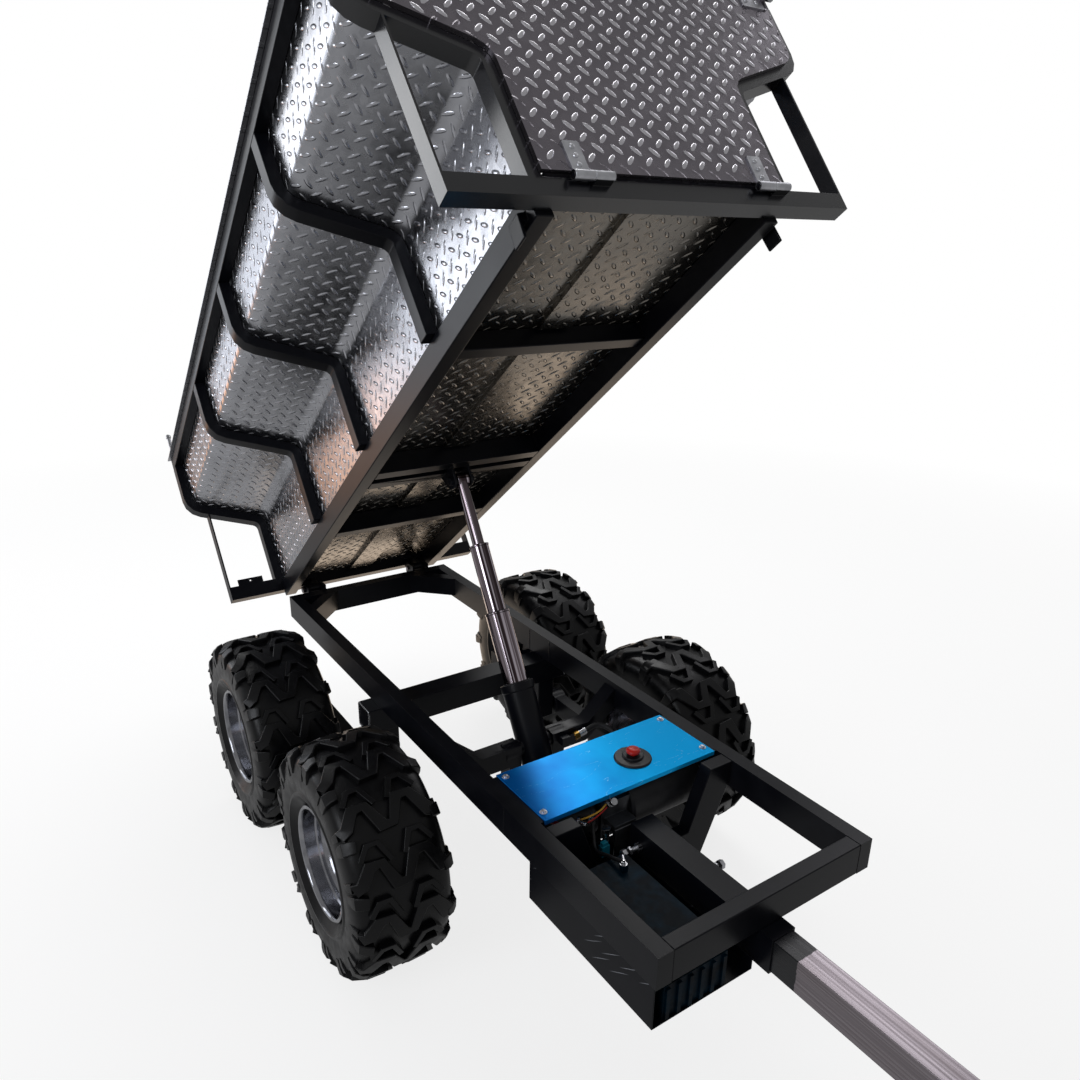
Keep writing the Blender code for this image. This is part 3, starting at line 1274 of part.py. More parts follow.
def build_bed_skin(bed):
    """Floor and stepped side sheets, the ribs outside them and the top rails."""
    rear = BED_REAR + SLIDING
    front = BED_FRONT - SLIDING
    half = FLOOR_HALF - TOUCH
    floor = box((rear + BED_TUBE, -half, FLOOR_UNDERSIDE), (front - BED_TUBE, half, FLOOR_TOP))
    members = (
        BED_FRONT - CROSSMEMBER_REAR,
        BED_PIN_X - MOUNT_BEHIND,
        BED_PIN_X + MOUNT_AHEAD,
        BED_FRONT - CROSSMEMBER_FRONT,
    )
    edges = [BED_REAR + BED_TUBE + 0.010]
    for x in members:
        edges.extend((x - BED_TUBE / 2 - 0.010, x + BED_TUBE / 2 + 0.010))
    edges.append(BED_FRONT - BED_TUBE - 0.010)
    strips = [
        box(
            (start, -STRIP_WIDTH / 2, FLOOR_UNDERSIDE - STRIP_DEPTH),
            (end, STRIP_WIDTH / 2, FLOOR_UNDERSIDE + SHEET / 2),
        )
        for start, end in zip(edges[::2], edges[1::2])
        if end - start > 0.05
    ]
    node("floor_sheet", fused(floor, *strips), GALVANISED, bed)

    foot = RAIL_TOP + TOUCH
    rail_bottom = BED_TOP - TOP_RAIL_HEIGHT
    bar_top = RAIL_UNDERSIDE + REAR_BAR_RISE + REAR_BAR_HEIGHT
    for side, name in SIDE_NAMES.items():
        line = stepped_line(0, foot, BED_TOP + TOUCH)
        back = stepped_line(SHEET, foot, BED_TOP + TOUCH)
        lip = UPPER_HALF + RIB_OFFSET + RIB + TOP_FLANGE
        over = BED_TOP + TOUCH + SHEET
        outline = line[:-1] + [(UPPER_HALF, over), (lip, over), (lip, BED_TOP + TOUCH)] + back[::-1]
        sheet = slab([mirrored(outline, side)], "x", rear, front)
        notch = box(
            (BED_REAR - 0.01, -BAR_HALF, foot - 0.01),
            (BED_REAR + BED_TUBE + TOUCH, BAR_HALF, bar_top + TOUCH),
        )
        node(f"side_sheet_{name}", cut(sheet, notch), GALVANISED, bed)

        edges = sorted((side * (UPPER_HALF + RIB_OFFSET), side * (UPPER_HALF + RIB_OFFSET + RIB)))
        rail = box((BED_REAR, edges[0], rail_bottom), (BED_FRONT, edges[1], BED_TOP))
        node(f"top_rail_{name}", rail, BLACK_PAINT, bed)

        band = stepped_band(RIB_OFFSET, RIB_OFFSET + RIB, foot, rail_bottom - TOUCH)
        for place, station in zip(("front", "middle", "rear"), RIB_STATIONS):
            x = BED_FRONT - station
            rib = slab([mirrored(band, side)], "x", x - RIB_WIDTH / 2, x + RIB_WIDTH / 2)
            node(f"rib_{place}_{name}", rib, BLACK_PAINT, bed)


def gate_shape(out, hinge_rise):
    """A gate of stepped outline with folded edges, hinge leaves and latch plates.

    It is drawn about its hinge axis, and faces out along x by the sign of out.
    """
    foot = hinge_rise + HINGE_RADIUS + 0.0015
    top = BED_TOP - GATE_TOP_DROP

    def outline(inset):
        line = stepped_line(GATE_OVERLAP - inset, foot + inset, top - inset)
        return [(y, z - hinge_rise) for y, z in line + [(-y, z) for y, z in reversed(line)]]

    face = -HINGE_STANDOFF + GATE_CLEARANCE + GATE_DEPTH
    back = face - GATE_DEPTH
    edges = sorted((out * back, out * face))
    pocket = sorted((out * (back - 0.002), out * (face - GATE_SHEET)))
    sheet = cut(
        slab([outline(0)], "x", *edges),
        slab([outline(GATE_SHEET)], "x", *pocket),
    )
    pieces, bores = [], []
    for y in HINGE_Y:
        low, high = y - HINGE_LENGTH / 2, y + HINGE_LENGTH / 2
        pieces.append(rod((0, low, 0), (0, high, 0), HINGE_RADIUS, FEW_SIDES))
        leaf = sorted((out * (face - 0.001), out * (face + 0.003)))
        pieces.append(box((leaf[0], low + 0.004, -0.004), (leaf[1], high - 0.004, 0.074)))
        for rise in (0.022, 0.042, 0.062):
            start = (out * (face + 0.002), y, rise)
            end = (out * (face + 0.0055), y, rise)
            pieces.append(rod(start, end, 0.0045, RIVET_SIDES))
        bores.append(rod((0, low - 0.01, 0), (0, high + 0.01, 0), HINGE_PIN_RADIUS + RUNNING, FEW_SIDES))
    latch_z = LATCH_RISE - hinge_rise
    latch_x = LATCH_STANDOFF - HINGE_STANDOFF
    for side in SIDE_NAMES:
        inner, outer = sorted((side * (LATCH_Y - 0.095), side * (LATCH_Y - 0.018)))
        plate = sorted((out * (face - 0.001), out * (face + 0.003)))
        pieces.append(box((plate[0], inner, latch_z - 0.034), (plate[1], outer, latch_z + 0.018)))
        ear = sorted((side * (LATCH_Y - 0.024), side * (LATCH_Y - 0.0175)))
        block = sorted((out * (face - 0.002), out * (latch_x + 0.008)))
        pieces.append(box((block[0], ear[0], latch_z - 0.012), (block[1], ear[1], latch_z + 0.012)))
        for along in (0.080, 0.045):
            rivet = (side * (LATCH_Y - along), latch_z - 0.018)
            ends = ((out * (face + 0.002), *rivet), (out * (face + 0.006), *rivet))
            pieces.append(rod(*ends, 0.004, RIVET_SIDES))
        pin = rod(
            (out * latch_x, side * (LATCH_Y - 0.020), latch_z),
            (out * latch_x, side * (LATCH_Y + 0.009), latch_z),
            0.004,
            8,
        )
        pieces.append(pin)
    return cut(fused(sheet, *pieces), *bores)


def latch_shape():
    """A latch handle: a boss on its pin, a plated rod and two dark collars, drawn about its pin."""
    boss = rod((0, -0.008, 0), (0, 0.008, 0), 0.0105, FEW_SIDES)
    arm = rod((0, 0, 0.006), (0, 0, LATCH_HANDLE), LATCH_ROD_RADIUS, FEW_SIDES)
    collars = [
        rod((0, 0, rise), (0, 0, rise + 0.010), LATCH_ROD_RADIUS + 0.0025, FEW_SIDES)
        for rise in (LATCH_HANDLE * 0.42, LATCH_HANDLE - 0.014)
    ]
    bore = rod((0, -0.02, 0), (0, 0.02, 0), 0.004 + RUNNING, 8)
    return cut(fused(boss, arm, *collars), bore)


def build_gates(bed):
    """Both gates on their bottom hinges, each with two latch handles."""
    for name, out, rise, face in (
        ("front", 1, HINGE_RISE, BED_FRONT),
        ("rear", -1, REAR_HINGE_RISE, BED_REAR),
    ):
        axis_x = face + out * HINGE_STANDOFF
        gate = datum(f"{name}_gate_hinge", (axis_x, 0, rise), bed)
        node(f"{name}_gate", gate_shape(out, rise), GALVANISED, gate)
        for side, side_name in SIDE_NAMES.items():
            place = (out * (LATCH_STANDOFF - HINGE_STANDOFF), side * LATCH_Y, LATCH_RISE - rise)
            pin = datum(f"{name}_latch_pin_{side_name}", place, gate)
            node(f"{name}_latch_{side_name}", latch_shape(), CHROME, pin)


def main():
    chassis = datum("chassis_datum", (-MIDDLE_X, 0, CHASSIS_TOP))
    build_chassis(chassis)
    build_axle(chassis)
    build_cradle(chassis)
    build_drawbar_mount(chassis)

    drawbar = datum("drawbar_slide", (0, 0, 0), chassis)
    handle = datum("coupler_handle_pin", build_drawbar(drawbar), drawbar)
    build_coupler_handle(handle)

    button = datum("stop_button_axis", build_power_bay(chassis), chassis)
    build_button(button)
    build_hose(chassis)

    for side, name in SIDE_NAMES.items():
        beam = datum(f"beam_pivot_{name}", (BEAM_PIVOT_X, 0, -AXLE_DROP), chassis)
        build_walking_beam(side, beam)
        for place, x in (("front", AXLE_SPACING / 2), ("rear", -AXLE_SPACING / 2)):
            wheel = datum(f"wheel_axis_{place}_{name}", (x, side * WHEEL_Y, 0), beam)
            build_wheel(side, place, wheel)

    barrel = datum("trunnion_axis", TRUNNION, chassis, LEAN)
    stages = []
    parent = barrel
    for name in ("stage_1_slide", "stage_2_slide", "rod_slide"):
        parent = datum(name, (0, 0, 0), parent)
        stages.append(parent)
    build_cylinder(barrel, stages)

    bed = datum("bed_pivot", (-PIVOT_SETBACK, 0, -PIVOT_DROP), chassis, -TIP_ANGLE)
    build_bed_frame(bed)
    build_bed_skin(bed)
    build_gates(bed)
    bpy.data.collections.remove(SHAPES)
    bpy.context.view_layer.update()


main()
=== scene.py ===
"""Looks of the tipping trailer: finishes, tread plate, tyres, wheels and small fittings on its frame."""

import json
import logging
import math
from dataclasses import dataclass, field
from enum import Enum
from typing import Callable, Iterable, Sequence

import bmesh
import bpy
from mathutils import Matrix, Vector

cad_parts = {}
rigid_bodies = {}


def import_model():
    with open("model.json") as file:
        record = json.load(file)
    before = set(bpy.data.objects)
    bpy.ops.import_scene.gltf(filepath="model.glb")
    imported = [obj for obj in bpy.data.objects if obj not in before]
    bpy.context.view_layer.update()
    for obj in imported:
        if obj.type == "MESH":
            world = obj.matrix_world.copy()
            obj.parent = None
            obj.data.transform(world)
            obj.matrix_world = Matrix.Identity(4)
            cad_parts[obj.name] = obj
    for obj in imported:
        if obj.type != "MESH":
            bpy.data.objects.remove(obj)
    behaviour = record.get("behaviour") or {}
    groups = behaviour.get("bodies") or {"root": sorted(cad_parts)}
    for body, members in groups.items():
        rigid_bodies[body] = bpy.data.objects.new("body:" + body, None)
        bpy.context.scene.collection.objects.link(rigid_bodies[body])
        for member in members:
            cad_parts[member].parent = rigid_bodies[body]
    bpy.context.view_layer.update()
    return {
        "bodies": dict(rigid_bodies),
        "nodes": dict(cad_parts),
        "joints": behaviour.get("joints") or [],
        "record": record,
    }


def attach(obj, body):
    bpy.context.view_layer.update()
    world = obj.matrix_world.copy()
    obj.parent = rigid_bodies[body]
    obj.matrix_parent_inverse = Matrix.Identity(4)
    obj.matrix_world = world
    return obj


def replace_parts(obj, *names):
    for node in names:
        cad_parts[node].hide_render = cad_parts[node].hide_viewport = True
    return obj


LOG = logging.getLogger("tipping_trailer")
MM = 0.001
# A length that keeps a place inside the line that it is looked up on, in metres
TINY = 1e-6
# Corners of a carried-over solid that lie closer than this are one, in metres
WELD_DISTANCE = 1e-5
# Faces that bend less than this are one plane, and edges that bend more than the other are sharp
FLAT_ANGLE = math.radians(0.6)
SHARP_ANGLE = math.radians(35)
# Steps in each bend of the sheet, and sides of one lozenge
BEND_STEPS = 10
LOZENGE_SIDES = 8
Point = tuple[float, float]
Place = tuple[float, float, float]
Socket = bpy.types.NodeSocket
Finishes = dict[str, bpy.types.Material]
# What a node that mixes two colours needs: its colour output and its type of data
BLEND: dict[str, object] = {"out": 2, "data_type": "RGBA"}


@dataclass(frozen=True)
class TrailerSizes:
    """Main sizes of the trailer, in metres, as its solids have them."""

    middle_x: float = 1.1755070768578326
    chassis_top: float = 0.593
    tip_angle: float = math.radians(38.31)
    pivot_setback: float = 0.040
    pivot_drop: float = 0.002
    half_width: float = 0.321
    rail_inner: float = 0.281
    bed_front: float = 2.150
    bed_rear: float = -0.081
    bed_tube: float = 0.040
    floor_half: float = 0.2985
    upper_half: float = 0.5395
    floor_top: float = 0.0656
    bed_top: float = 0.6266
    shelf_rise: float = 0.269
    shelf_angle: float = math.radians(20.5)
    sheet: float = 0.003
    inner_bend: float = 0.055
    outer_bend: float = 0.040
    floor_members: tuple[float, ...] = (0.525, 1.145, 1.2125, 1.595)
    hinge_y: tuple[float, float] = (-0.222, 0.248)
    latch_z: float = 0.5966

    def chassis_place(self, x: float, y: float, z: float) -> Vector:
        """Place in the scene of a point in chassis coordinates."""
        return Vector((x - self.middle_x, y, z + self.chassis_top))

    def chassis_frame(self) -> Matrix:
        """Matrix from chassis coordinates to the scene."""
        return Matrix.Translation((-self.middle_x, 0, self.chassis_top))

    def bed_frame(self) -> Matrix:
        """Matrix from coordinates along the bed's floor to the scene, with the bed raised."""
        pivot = Matrix.Translation((-self.pivot_setback, 0, -self.pivot_drop))
        return self.chassis_frame() @ pivot @ Matrix.Rotation(-self.tip_angle, 4, "Y")


SIZES = TrailerSizes()


class Named(Enum):
    """An option that is part of the names of nodes and pieces."""

    @property
    def label(self) -> str:
        """The option as names spell it."""
        return self.name.lower()


class Side(Named):
    """The two sides of the trailer, by the sign of y."""

    LEFT = 1
    RIGHT = -1


class End(Named):
    """The two ends of the bed, by the sign of x that leads out of it."""

    FRONT = 1
    REAR = -1

    @property
    def x(self) -> float:
        """Where the end lies along the bed's floor."""
        return SIZES.bed_front if self is End.FRONT else SIZES.bed_rear

    @property
    def hinge_rise(self) -> float:
        """Height of the gate's hinge line over the bed's floor line."""
        return 0.0483 if self is End.FRONT else 0.0723


def linear(colour: str) -> tuple[float, float, float, float]:
    """Turns an sRGB colour, six hex digits with a leading hash, to linear light with an alpha of 1."""
    values = [int(colour[i:i + 2], 16) / 255 for i in (1, 3, 5)]
    turned = [v / 12.92 if v <= 0.04045 else ((v + 0.055) / 1.055) ** 2.4 for v in values]
    return (turned[0], turned[1], turned[2], 1.0)


def per_metre(size_mm: float) -> float:
    """Texture scale whose features are about size_mm across."""
    return 1000.0 / size_mm


def add_node(tree: bpy.types.NodeTree, kind: str, *inputs: object, **settings: object) -> bpy.types.Node:
    """Adds one shader node with its settings, values and links.

    Args:
        tree: the node tree that it joins.
        kind: Blender's name of the node type after "ShaderNode", and its operation after a dot.
        inputs: a value, a hex colour or an output socket for each input in order, or one dict of them
            by name or number.
        settings: attributes of the node.

    Returns:
        The new node.
    """
    kind, _, operation = kind.partition(".")
    made = tree.nodes.new("ShaderNode" + kind)
    if operation:
        made.operation = operation
    for key, value in settings.items():
        setattr(made, key, value)
    by_key = inputs[0] if inputs and isinstance(inputs[0], dict) else dict(enumerate(inputs))
    for key, value in by_key.items():
        socket = made.inputs[key]
        if isinstance(value, Socket):
            tree.links.new(value, socket)
        else:
            socket.default_value = linear(value) if isinstance(value, str) else value
    return made


class Painter:
    """The node tree of one material."""

    def __init__(self, name: str) -> None:
        """Starts a material with an empty tree and object coordinates."""
        self.material = bpy.data.materials.new(name)
        self.material.use_nodes = True
        self.tree = self.material.node_tree
        self.tree.nodes.clear()
        self.place = self.add("TexCoord", out="Object")

    def add(self, kind: str, *inputs: object, out: int | str = 0, **settings: object) -> Socket:
        """Adds one node as add_node does, and gives the output that out names or numbers."""
        return add_node(self.tree, kind, *inputs, **settings).outputs[out]

    def toned(
        self, where: Socket, low: float, high: float, most: float, first: object, second: object
    ) -> Socket:
        """First colour, turned to second by a share of 0 to most as where goes from low to high."""
        share = self.add("MapRange", where, low, high, 0.0, most)
        return self.add("Mix", {0: share, 6: first, 7: second}, **BLEND)

    def pattern(
        self, size_mm: float, detail: float = 3.0, stretch: Sequence[float] = (1, 1, 1), lean: float = 0.0
    ) -> Socket:
        """Soft irregular pattern with features of a real size.

        Args:
            size_mm: size of its features.
            detail: number of finer layers.
            stretch: a value under 1 draws it out along that axis.
            lean: turns the place about y before it is stretched.

        Returns:
            The pattern, about 0 to 1.
        """
        turned = self.add("Mapping", {"Vector": self.place, "Rotation": (0.0, lean, 0.0)})
        moved = self.add("Mapping", {"Vector": turned, "Scale": tuple(stretch)})
        inputs = {"Vector": moved, "Scale": per_metre(size_mm), "Detail": detail}
        return self.add("TexNoise", inputs, out="Fac")

    def finish(self, **sockets: object) -> bpy.types.Material:
        """Closes the material with one principled shader.

        Args:
            sockets: values or output sockets, with spaces in a name written as underscores.

        Returns:
            The material.
        """
        shader = self.add("BsdfPrincipled", {key.replace("_", " "): value for key, value in sockets.items()})
        self.add_surface(shader)
        return self.material

    def add_surface(self, shader: Socket) -> None:
        """Gives the material its surface."""
        add_node(self.tree, "OutputMaterial", {"Surface": shader})


@dataclass(frozen=True)
class ChassisEnamel:
    """Black enamel sprayed on welded steel tube: near black, half glossy, with fine orange peel and dust."""

    name: str = "black_enamel"
    colour: str = "#0a0b11"
    dusty: str = "#0e0f14"
    rubbed: str = "#15161b"
    scratch: str = "#8f9197"
    peel_mm: float = 6.0
    peel_depth_mm: float = 0.012
    grit_mm: float = 60.0
    dust_mm: float = 320.0
    roughness: float = 0.30
    shine: float = 0.19
    scratched: float = 0.0
    scratch_gap: float = 0.012
    scratch_length: float = 0.075
    scratch_turn: float = 0.62

    def strokes(self, p: Painter) -> Socket:
        """Straight scratches that all run one way and never meet, 0 to 1."""
        # Real scratches are 0.3 mm wide; drawn about 1.2 mm wide to show from this far
        turned = p.add("Mapping", {"Vector": p.place, "Rotation": (0.0, self.scratch_turn, 0.0)})
        apart = add_node(p.tree, "SeparateXYZ", turned).outputs
        wander = p.add("MapRange", p.pattern(160.0), 0.3, 0.7, -0.2, 0.2)
        rows = p.add("Math.DIVIDE", apart[2], self.scratch_gap)
        row = p.add("Math.ADD", rows, wander)
        number = p.add("Math.FLOOR", row)
        runs = p.add("Math.DIVIDE", apart[0], self.scratch_length)
        # The share of a length by which each row is moved along, so that no two rows look alike
        shift = p.add("Math.MULTIPLY", number, 0.37)
        run = p.add("Math.ADD", runs, shift)
        cell = p.add("CombineXYZ", p.add("Math.FLOOR", run), number)
        chance = p.add("TexWhiteNoise", {"Vector": cell})
        near = []
        for value in (row, run):
            part = p.add("Math.FRACT", value)
            centred = p.add("Math.SUBTRACT", part, 0.5)
            near.append(p.add("Math.ABSOLUTE", centred))
        slim = p.add("MapRange", near[0], 0.03, 0.07, 1.0, 0.0)
        fading = p.add("MapRange", near[1], 0.15, 0.5, 1.0, 0.0)
        line = p.add("Math.MULTIPLY", slim, fading)
        # About one cell in twelve has a scratch
        chosen = p.add("MapRange", chance, 0.90, 0.93, 0.0, 1.0)
        return p.add("Math.MULTIPLY", line, chosen)

    def build(self) -> bpy.types.Material:
        """Makes the material."""
        p = Painter(self.name)
        base = p.toned(p.pattern(self.dust_mm, 2.0), 0.40, 0.75, 0.18, self.colour, self.dusty)
        grit = p.pattern(self.grit_mm, 2.0)
        # Rubbed where the surface bends outwards
        sharp = p.add("MapRange", p.add("NewGeometry", out="Pointiness"), 0.52, 0.60, 0.0, 1.0)
        worn = p.add("MapRange", grit, 0.40, 0.62, 0.0, 0.6)
        edge = p.add("Math.MULTIPLY", sharp, worn)
        colour = p.add("Mix", {0: edge, 6: base, 7: self.rubbed}, **BLEND)
        if self.scratched:
            share = p.add("Math.MULTIPLY", self.strokes(p), self.scratched)
            colour = p.add("Mix", {0: share, 6: colour, 7: self.scratch}, **BLEND)
        rough = p.add("MapRange", grit, 0.3, 0.7, self.roughness - 0.006, self.roughness + 0.012)
        peel = {"Height": p.pattern(self.peel_mm, 2.0), "Distance": self.peel_depth_mm * MM}
        relief = p.add("Bump", peel)
        return p.finish(Base_Color=colour, Roughness=rough, Normal=relief, Specular_IOR_Level=self.shine)


@dataclass(frozen=True)
class DrawnSteel:
    """Bare drawn square tube with an oily film: brown-grey metal with long drawing lines."""

    name: str = "drawn_steel"
    colour: str = "#a79fa4"
    streak: str = "#7d7579"
    oil: str = "#74645f"
    paint: str = "#15161a"
    painted_to: float | None = None

    def build(self) -> bpy.types.Material:
        """Makes the material; behind painted_to, along x, the bar is still black."""
        p = Painter(self.name)
        # Drawing lines are about 0.2 mm apart; drawn 6 mm apart to show from this far
        lines = p.pattern(6.0, 1.0, (0.006, 1, 1))
        film = p.pattern(90.0, 4.0, (0.2, 1, 1))
        colour = p.toned(lines, 0.35, 0.65, 0.8, self.colour, self.streak)
        colour = p.toned(film, 0.5, 0.8, 0.5, colour, self.oil)
        rough = p.add("MapRange", lines, 0.3, 0.7, 0.24, 0.34)
        metal: object = 1.0
        if self.painted_to is not None:
            ragged = p.add("MapRange", p.pattern(9.0), 0.3, 0.7, -0.0012, 0.0012)
            wavy = p.add("Math.ADD", p.add("SeparateXYZ", p.place), ragged)
            black = p.add("MapRange", wavy, self.painted_to, self.painted_to + 0.0015, 1.0, 0.0)
            colour = p.add("Mix", {0: black, 6: colour, 7: self.paint}, **BLEND)
            metal = p.add("Math.SUBTRACT", 1.0, black)
        relief = p.add("Bump", {"Height": lines, "Distance": 0.004 * MM})
        return p.finish(Base_Color=colour, Roughness=rough, Metallic=metal, Normal=relief)


class DentPlane(Enum):
    """Which coordinates a tread plate's pattern is laid out in."""

    SHEET = "the sheet's own attribute, in metres along and across"
    FLOOR = "along and across the bed's floor"
    GATE = "across and up the bed's ends"


@dataclass(frozen=True)
class TreadLattice:
    """The lozenge pattern of tread plate, from its real pitch."""

    pitch: float = 0.0457
    length: float = 0.031
    width: float = 0.0098
    height: float = 0.0016


@dataclass(frozen=True)
class GalvanisedPlate:
    """Galvanised tread plate: grey zinc with faint spangle and stains, smoother where it was handled; its
    lighter copies on the lozenges are partly worn crests and partly painted highlight, its darker copies on
    the floor and gates painted shade.
    """

    name: str = "galvanised_plate"
    colour: str = "#b6b7bc"
    dull: str = "#86878d"
    plane: DentPlane | None = None
    lattice: TreadLattice = TreadLattice()
    spangle_mm: float = 16.0
    stain_mm: float = 260.0
    handling_mm: float = 30.0
    dent_mm: float = 110.0
    dent_depth_mm: float = 1.4

    def lozenges(self, p: Painter, u: Socket, v: Socket) -> Socket:
        """Height of the pressed pattern at a place on the sheet, 0 to 1."""
        pitch = self.lattice.pitch
        heights = []
        for shift, turn in ((0.0, 1.0), (0.5, -1.0)):
            cells = []
            for value in (u, v):
                count = p.add("Math.DIVIDE", value, pitch)
                part = p.add("Math.FRACT", p.add("Math.ADD", count, 0.5 + shift))
                near = p.add("Math.SUBTRACT", part, 0.5)
                cells.append(p.add("Math.MULTIPLY", near, pitch))
            leant = p.add("Math.MULTIPLY", cells[1], turn)
            along = p.add("Math.ADD", cells[0], leant)
            across = p.add("Math.SUBTRACT", leant, cells[0])
            squares = []
            for value, size in ((along, self.lattice.length), (across, self.lattice.width)):
                metres = p.add("Math.MULTIPLY", value, math.sqrt(0.5))
                share = p.add("Math.DIVIDE", metres, size / 2)
                squares.append(p.add("Math.POWER", share, 2.0))
            heights.append(p.add("MapRange", p.add("Math.ADD", *squares), 1.0, 0.35, 0.0, 1.0))
        return p.add("Math.MAXIMUM", *heights)

    def coordinates(self, p: Painter) -> tuple[Socket, Socket]:
        """The two sockets that run along and across the plate, in metres."""
        if self.plane is DentPlane.SHEET:
            place = p.add("Attribute", out="Vector", attribute_name="plate_place")
        else:
            back = SIZES.bed_frame().inverted()
            turn, shift = tuple(back.to_euler()), tuple(back.translation)
            place = p.add("Mapping", {"Vector": p.place, "Rotation": turn, "Location": shift})
        apart = add_node(p.tree, "SeparateXYZ", place).outputs
        return (apart[1], apart[2]) if self.plane is DentPlane.GATE else (apart[0], apart[1])

    def build(self) -> bpy.types.Material:
        """Makes the material."""
        p = Painter(self.name)
        cells = p.add("TexVoronoi", {"Vector": p.place, "Scale": per_metre(self.spangle_mm)}, out="Color")
        tone = p.add("SeparateColor", cells)
        colour = p.toned(tone, 0.0, 1.0, 0.22, self.colour, self.dull)
        colour = p.toned(p.pattern(self.stain_mm, 6.0), 0.45, 0.75, 0.45, colour, self.dull)
        facets = p.add("MapRange", tone, 0.0, 1.0, -0.02, 0.03)
        handled = p.add("MapRange", p.pattern(self.handling_mm, 5.0), 0.3, 0.7, 0.19, 0.29)
        rough = p.add("Math.ADD", facets, handled)
        dents = p.pattern(self.dent_mm, 2.0)
        relief = p.add("Bump", {"Height": dents, "Distance": self.dent_depth_mm * MM})
        if self.plane is not None:
            pressed = {"Height": self.lozenges(p, *self.coordinates(p)), "Normal": relief}
            relief = p.add("Bump", {**pressed, "Distance": self.lattice.height})
        return p.finish(Base_Color=colour, Roughness=rough, Metallic=1.0, Normal=relief)


@dataclass(frozen=True)
class TyreRubber:
    """Moulded carbon-black rubber: near black with a waxy sheen, faintly grey where dust settled."""

    name: str = "tyre_rubber"
    colour: str = "#060608"
    dusty: str = "#0e0e11"
    dust_mm: float = 60.0
    wax_mm: float = 24.0
    grain_mm: float = 2.5
    grain_depth_mm: float = 0.10
    shine: float = 0.28

    def build(self) -> bpy.types.Material:
        """Makes the material."""
        p = Painter(self.name)
        colour = p.toned(p.pattern(self.dust_mm, 6.0), 0.45, 0.75, 0.6, self.colour, self.dusty)
        rough = p.add("MapRange", p.pattern(self.wax_mm, 4.0), 0.3, 0.7, 0.27, 0.42)
        grain = p.pattern(self.grain_mm, 3.0)
        relief = p.add("Bump", {"Height": grain, "Distance": self.grain_depth_mm * MM})
        return p.finish(Base_Color=colour, Roughness=rough, Normal=relief, Specular_IOR_Level=self.shine)


@dataclass(frozen=True)
class PlatedMetal:
    """Plated, cast or welded metal: a bright, softly clouded skin over a fine grain, duller where rough."""

    name: str
    colour: str
    shade: str
    roughness: float
    grain_mm: float = 2.0
    depth_mm: float = 0.01
    cloud_mm: float = 35.0

    def build(self) -> bpy.types.Material:
        """Makes the material."""
        p = Painter(self.name)
        grain = p.pattern(self.grain_mm, 3.0)
        colour = p.toned(p.pattern(self.cloud_mm, 4.0), 0.35, 0.7, 1.0, self.colour, self.shade)
        rough = p.add("MapRange", grain, 0.3, 0.7, self.roughness * 0.8, self.roughness * 1.25)
        relief = p.add("Bump", {"Height": grain, "Distance": self.depth_mm * MM})
        return p.finish(Base_Color=colour, Roughness=rough, Metallic=1.0, Normal=relief)


@dataclass(frozen=True)
class HonedChrome:
    """Hard chrome on a honed tube, with a violet cast; its long dark and bright streaks along the axis are
    painted reflections.
    """

    name: str = "hard_chrome"
    # dark, colour and bright are the tones of painted reflections: dark and bright streaks on the chrome
    dark: str = "#413639"
    colour: str = "#8f8389"
    bright: str = "#d9cfd9"
    broad_mm: float = 17.0
    slim_mm: float = 7.0
    lean: float = math.atan2(-0.40732, 0.70199)

    def build(self) -> bpy.types.Material:
        """Makes the material; lean is the cylinder's lean, which the streaks follow."""
        p = Painter(self.name)
        # Real honing streaks are under 1 mm wide; these, drawn about 9 mm and 4 mm wide to show from this
        # far, are painted reflections, dark and bright
        along = (1.0, 1.0, 0.004)
        painted_reflection_band = p.pattern(self.broad_mm, 0.0, along, -self.lean)
        slim = p.pattern(self.slim_mm, 0.0, along, -self.lean)
        # Painted reflections: broad dark streaks, then slim bright highlight streaks
        colour = p.toned(painted_reflection_band, 0.36, 0.56, 1.0, self.dark, self.colour)
        colour = p.toned(slim, 0.60, 0.66, 1.0, colour, self.bright)
        rough = p.add("MapRange", slim, 0.3, 0.7, 0.07, 0.12)
        relief = p.add("Bump", {"Height": slim, "Distance": 0.01 * MM})
        return p.finish(Base_Color=colour, Roughness=rough, Metallic=1.0, Normal=relief)


@dataclass(frozen=True)
class MouldedPlastic:
    """Moulded plastic or rubber, or paint on a small part: even colour, fine grain, soft sheen."""

    name: str
    colour: str
    shade: str
    roughness: float = 0.42
    grain_mm: float = 1.2
    depth_mm: float = 0.03
    shine: float = 0.35
    cloud_mm: float = 40.0
    touch_mm: float = 9.0

    def build(self) -> bpy.types.Material:
        """Makes the material."""
        p = Painter(self.name)
        colour = p.toned(p.pattern(self.cloud_mm, 5.0), 0.4, 0.7, 1.0, self.colour, self.shade)
        touched = p.pattern(self.touch_mm, 4.0)
        rough = p.add("MapRange", touched, 0.3, 0.7, self.roughness - 0.06, self.roughness + 0.08)
        grain = p.pattern(self.grain_mm, 2.0)
        relief = p.add("Bump", {"Height": grain, "Distance": self.depth_mm * MM})
        return p.finish(Base_Color=colour, Roughness=rough, Normal=relief, Specular_IOR_Level=self.shine)


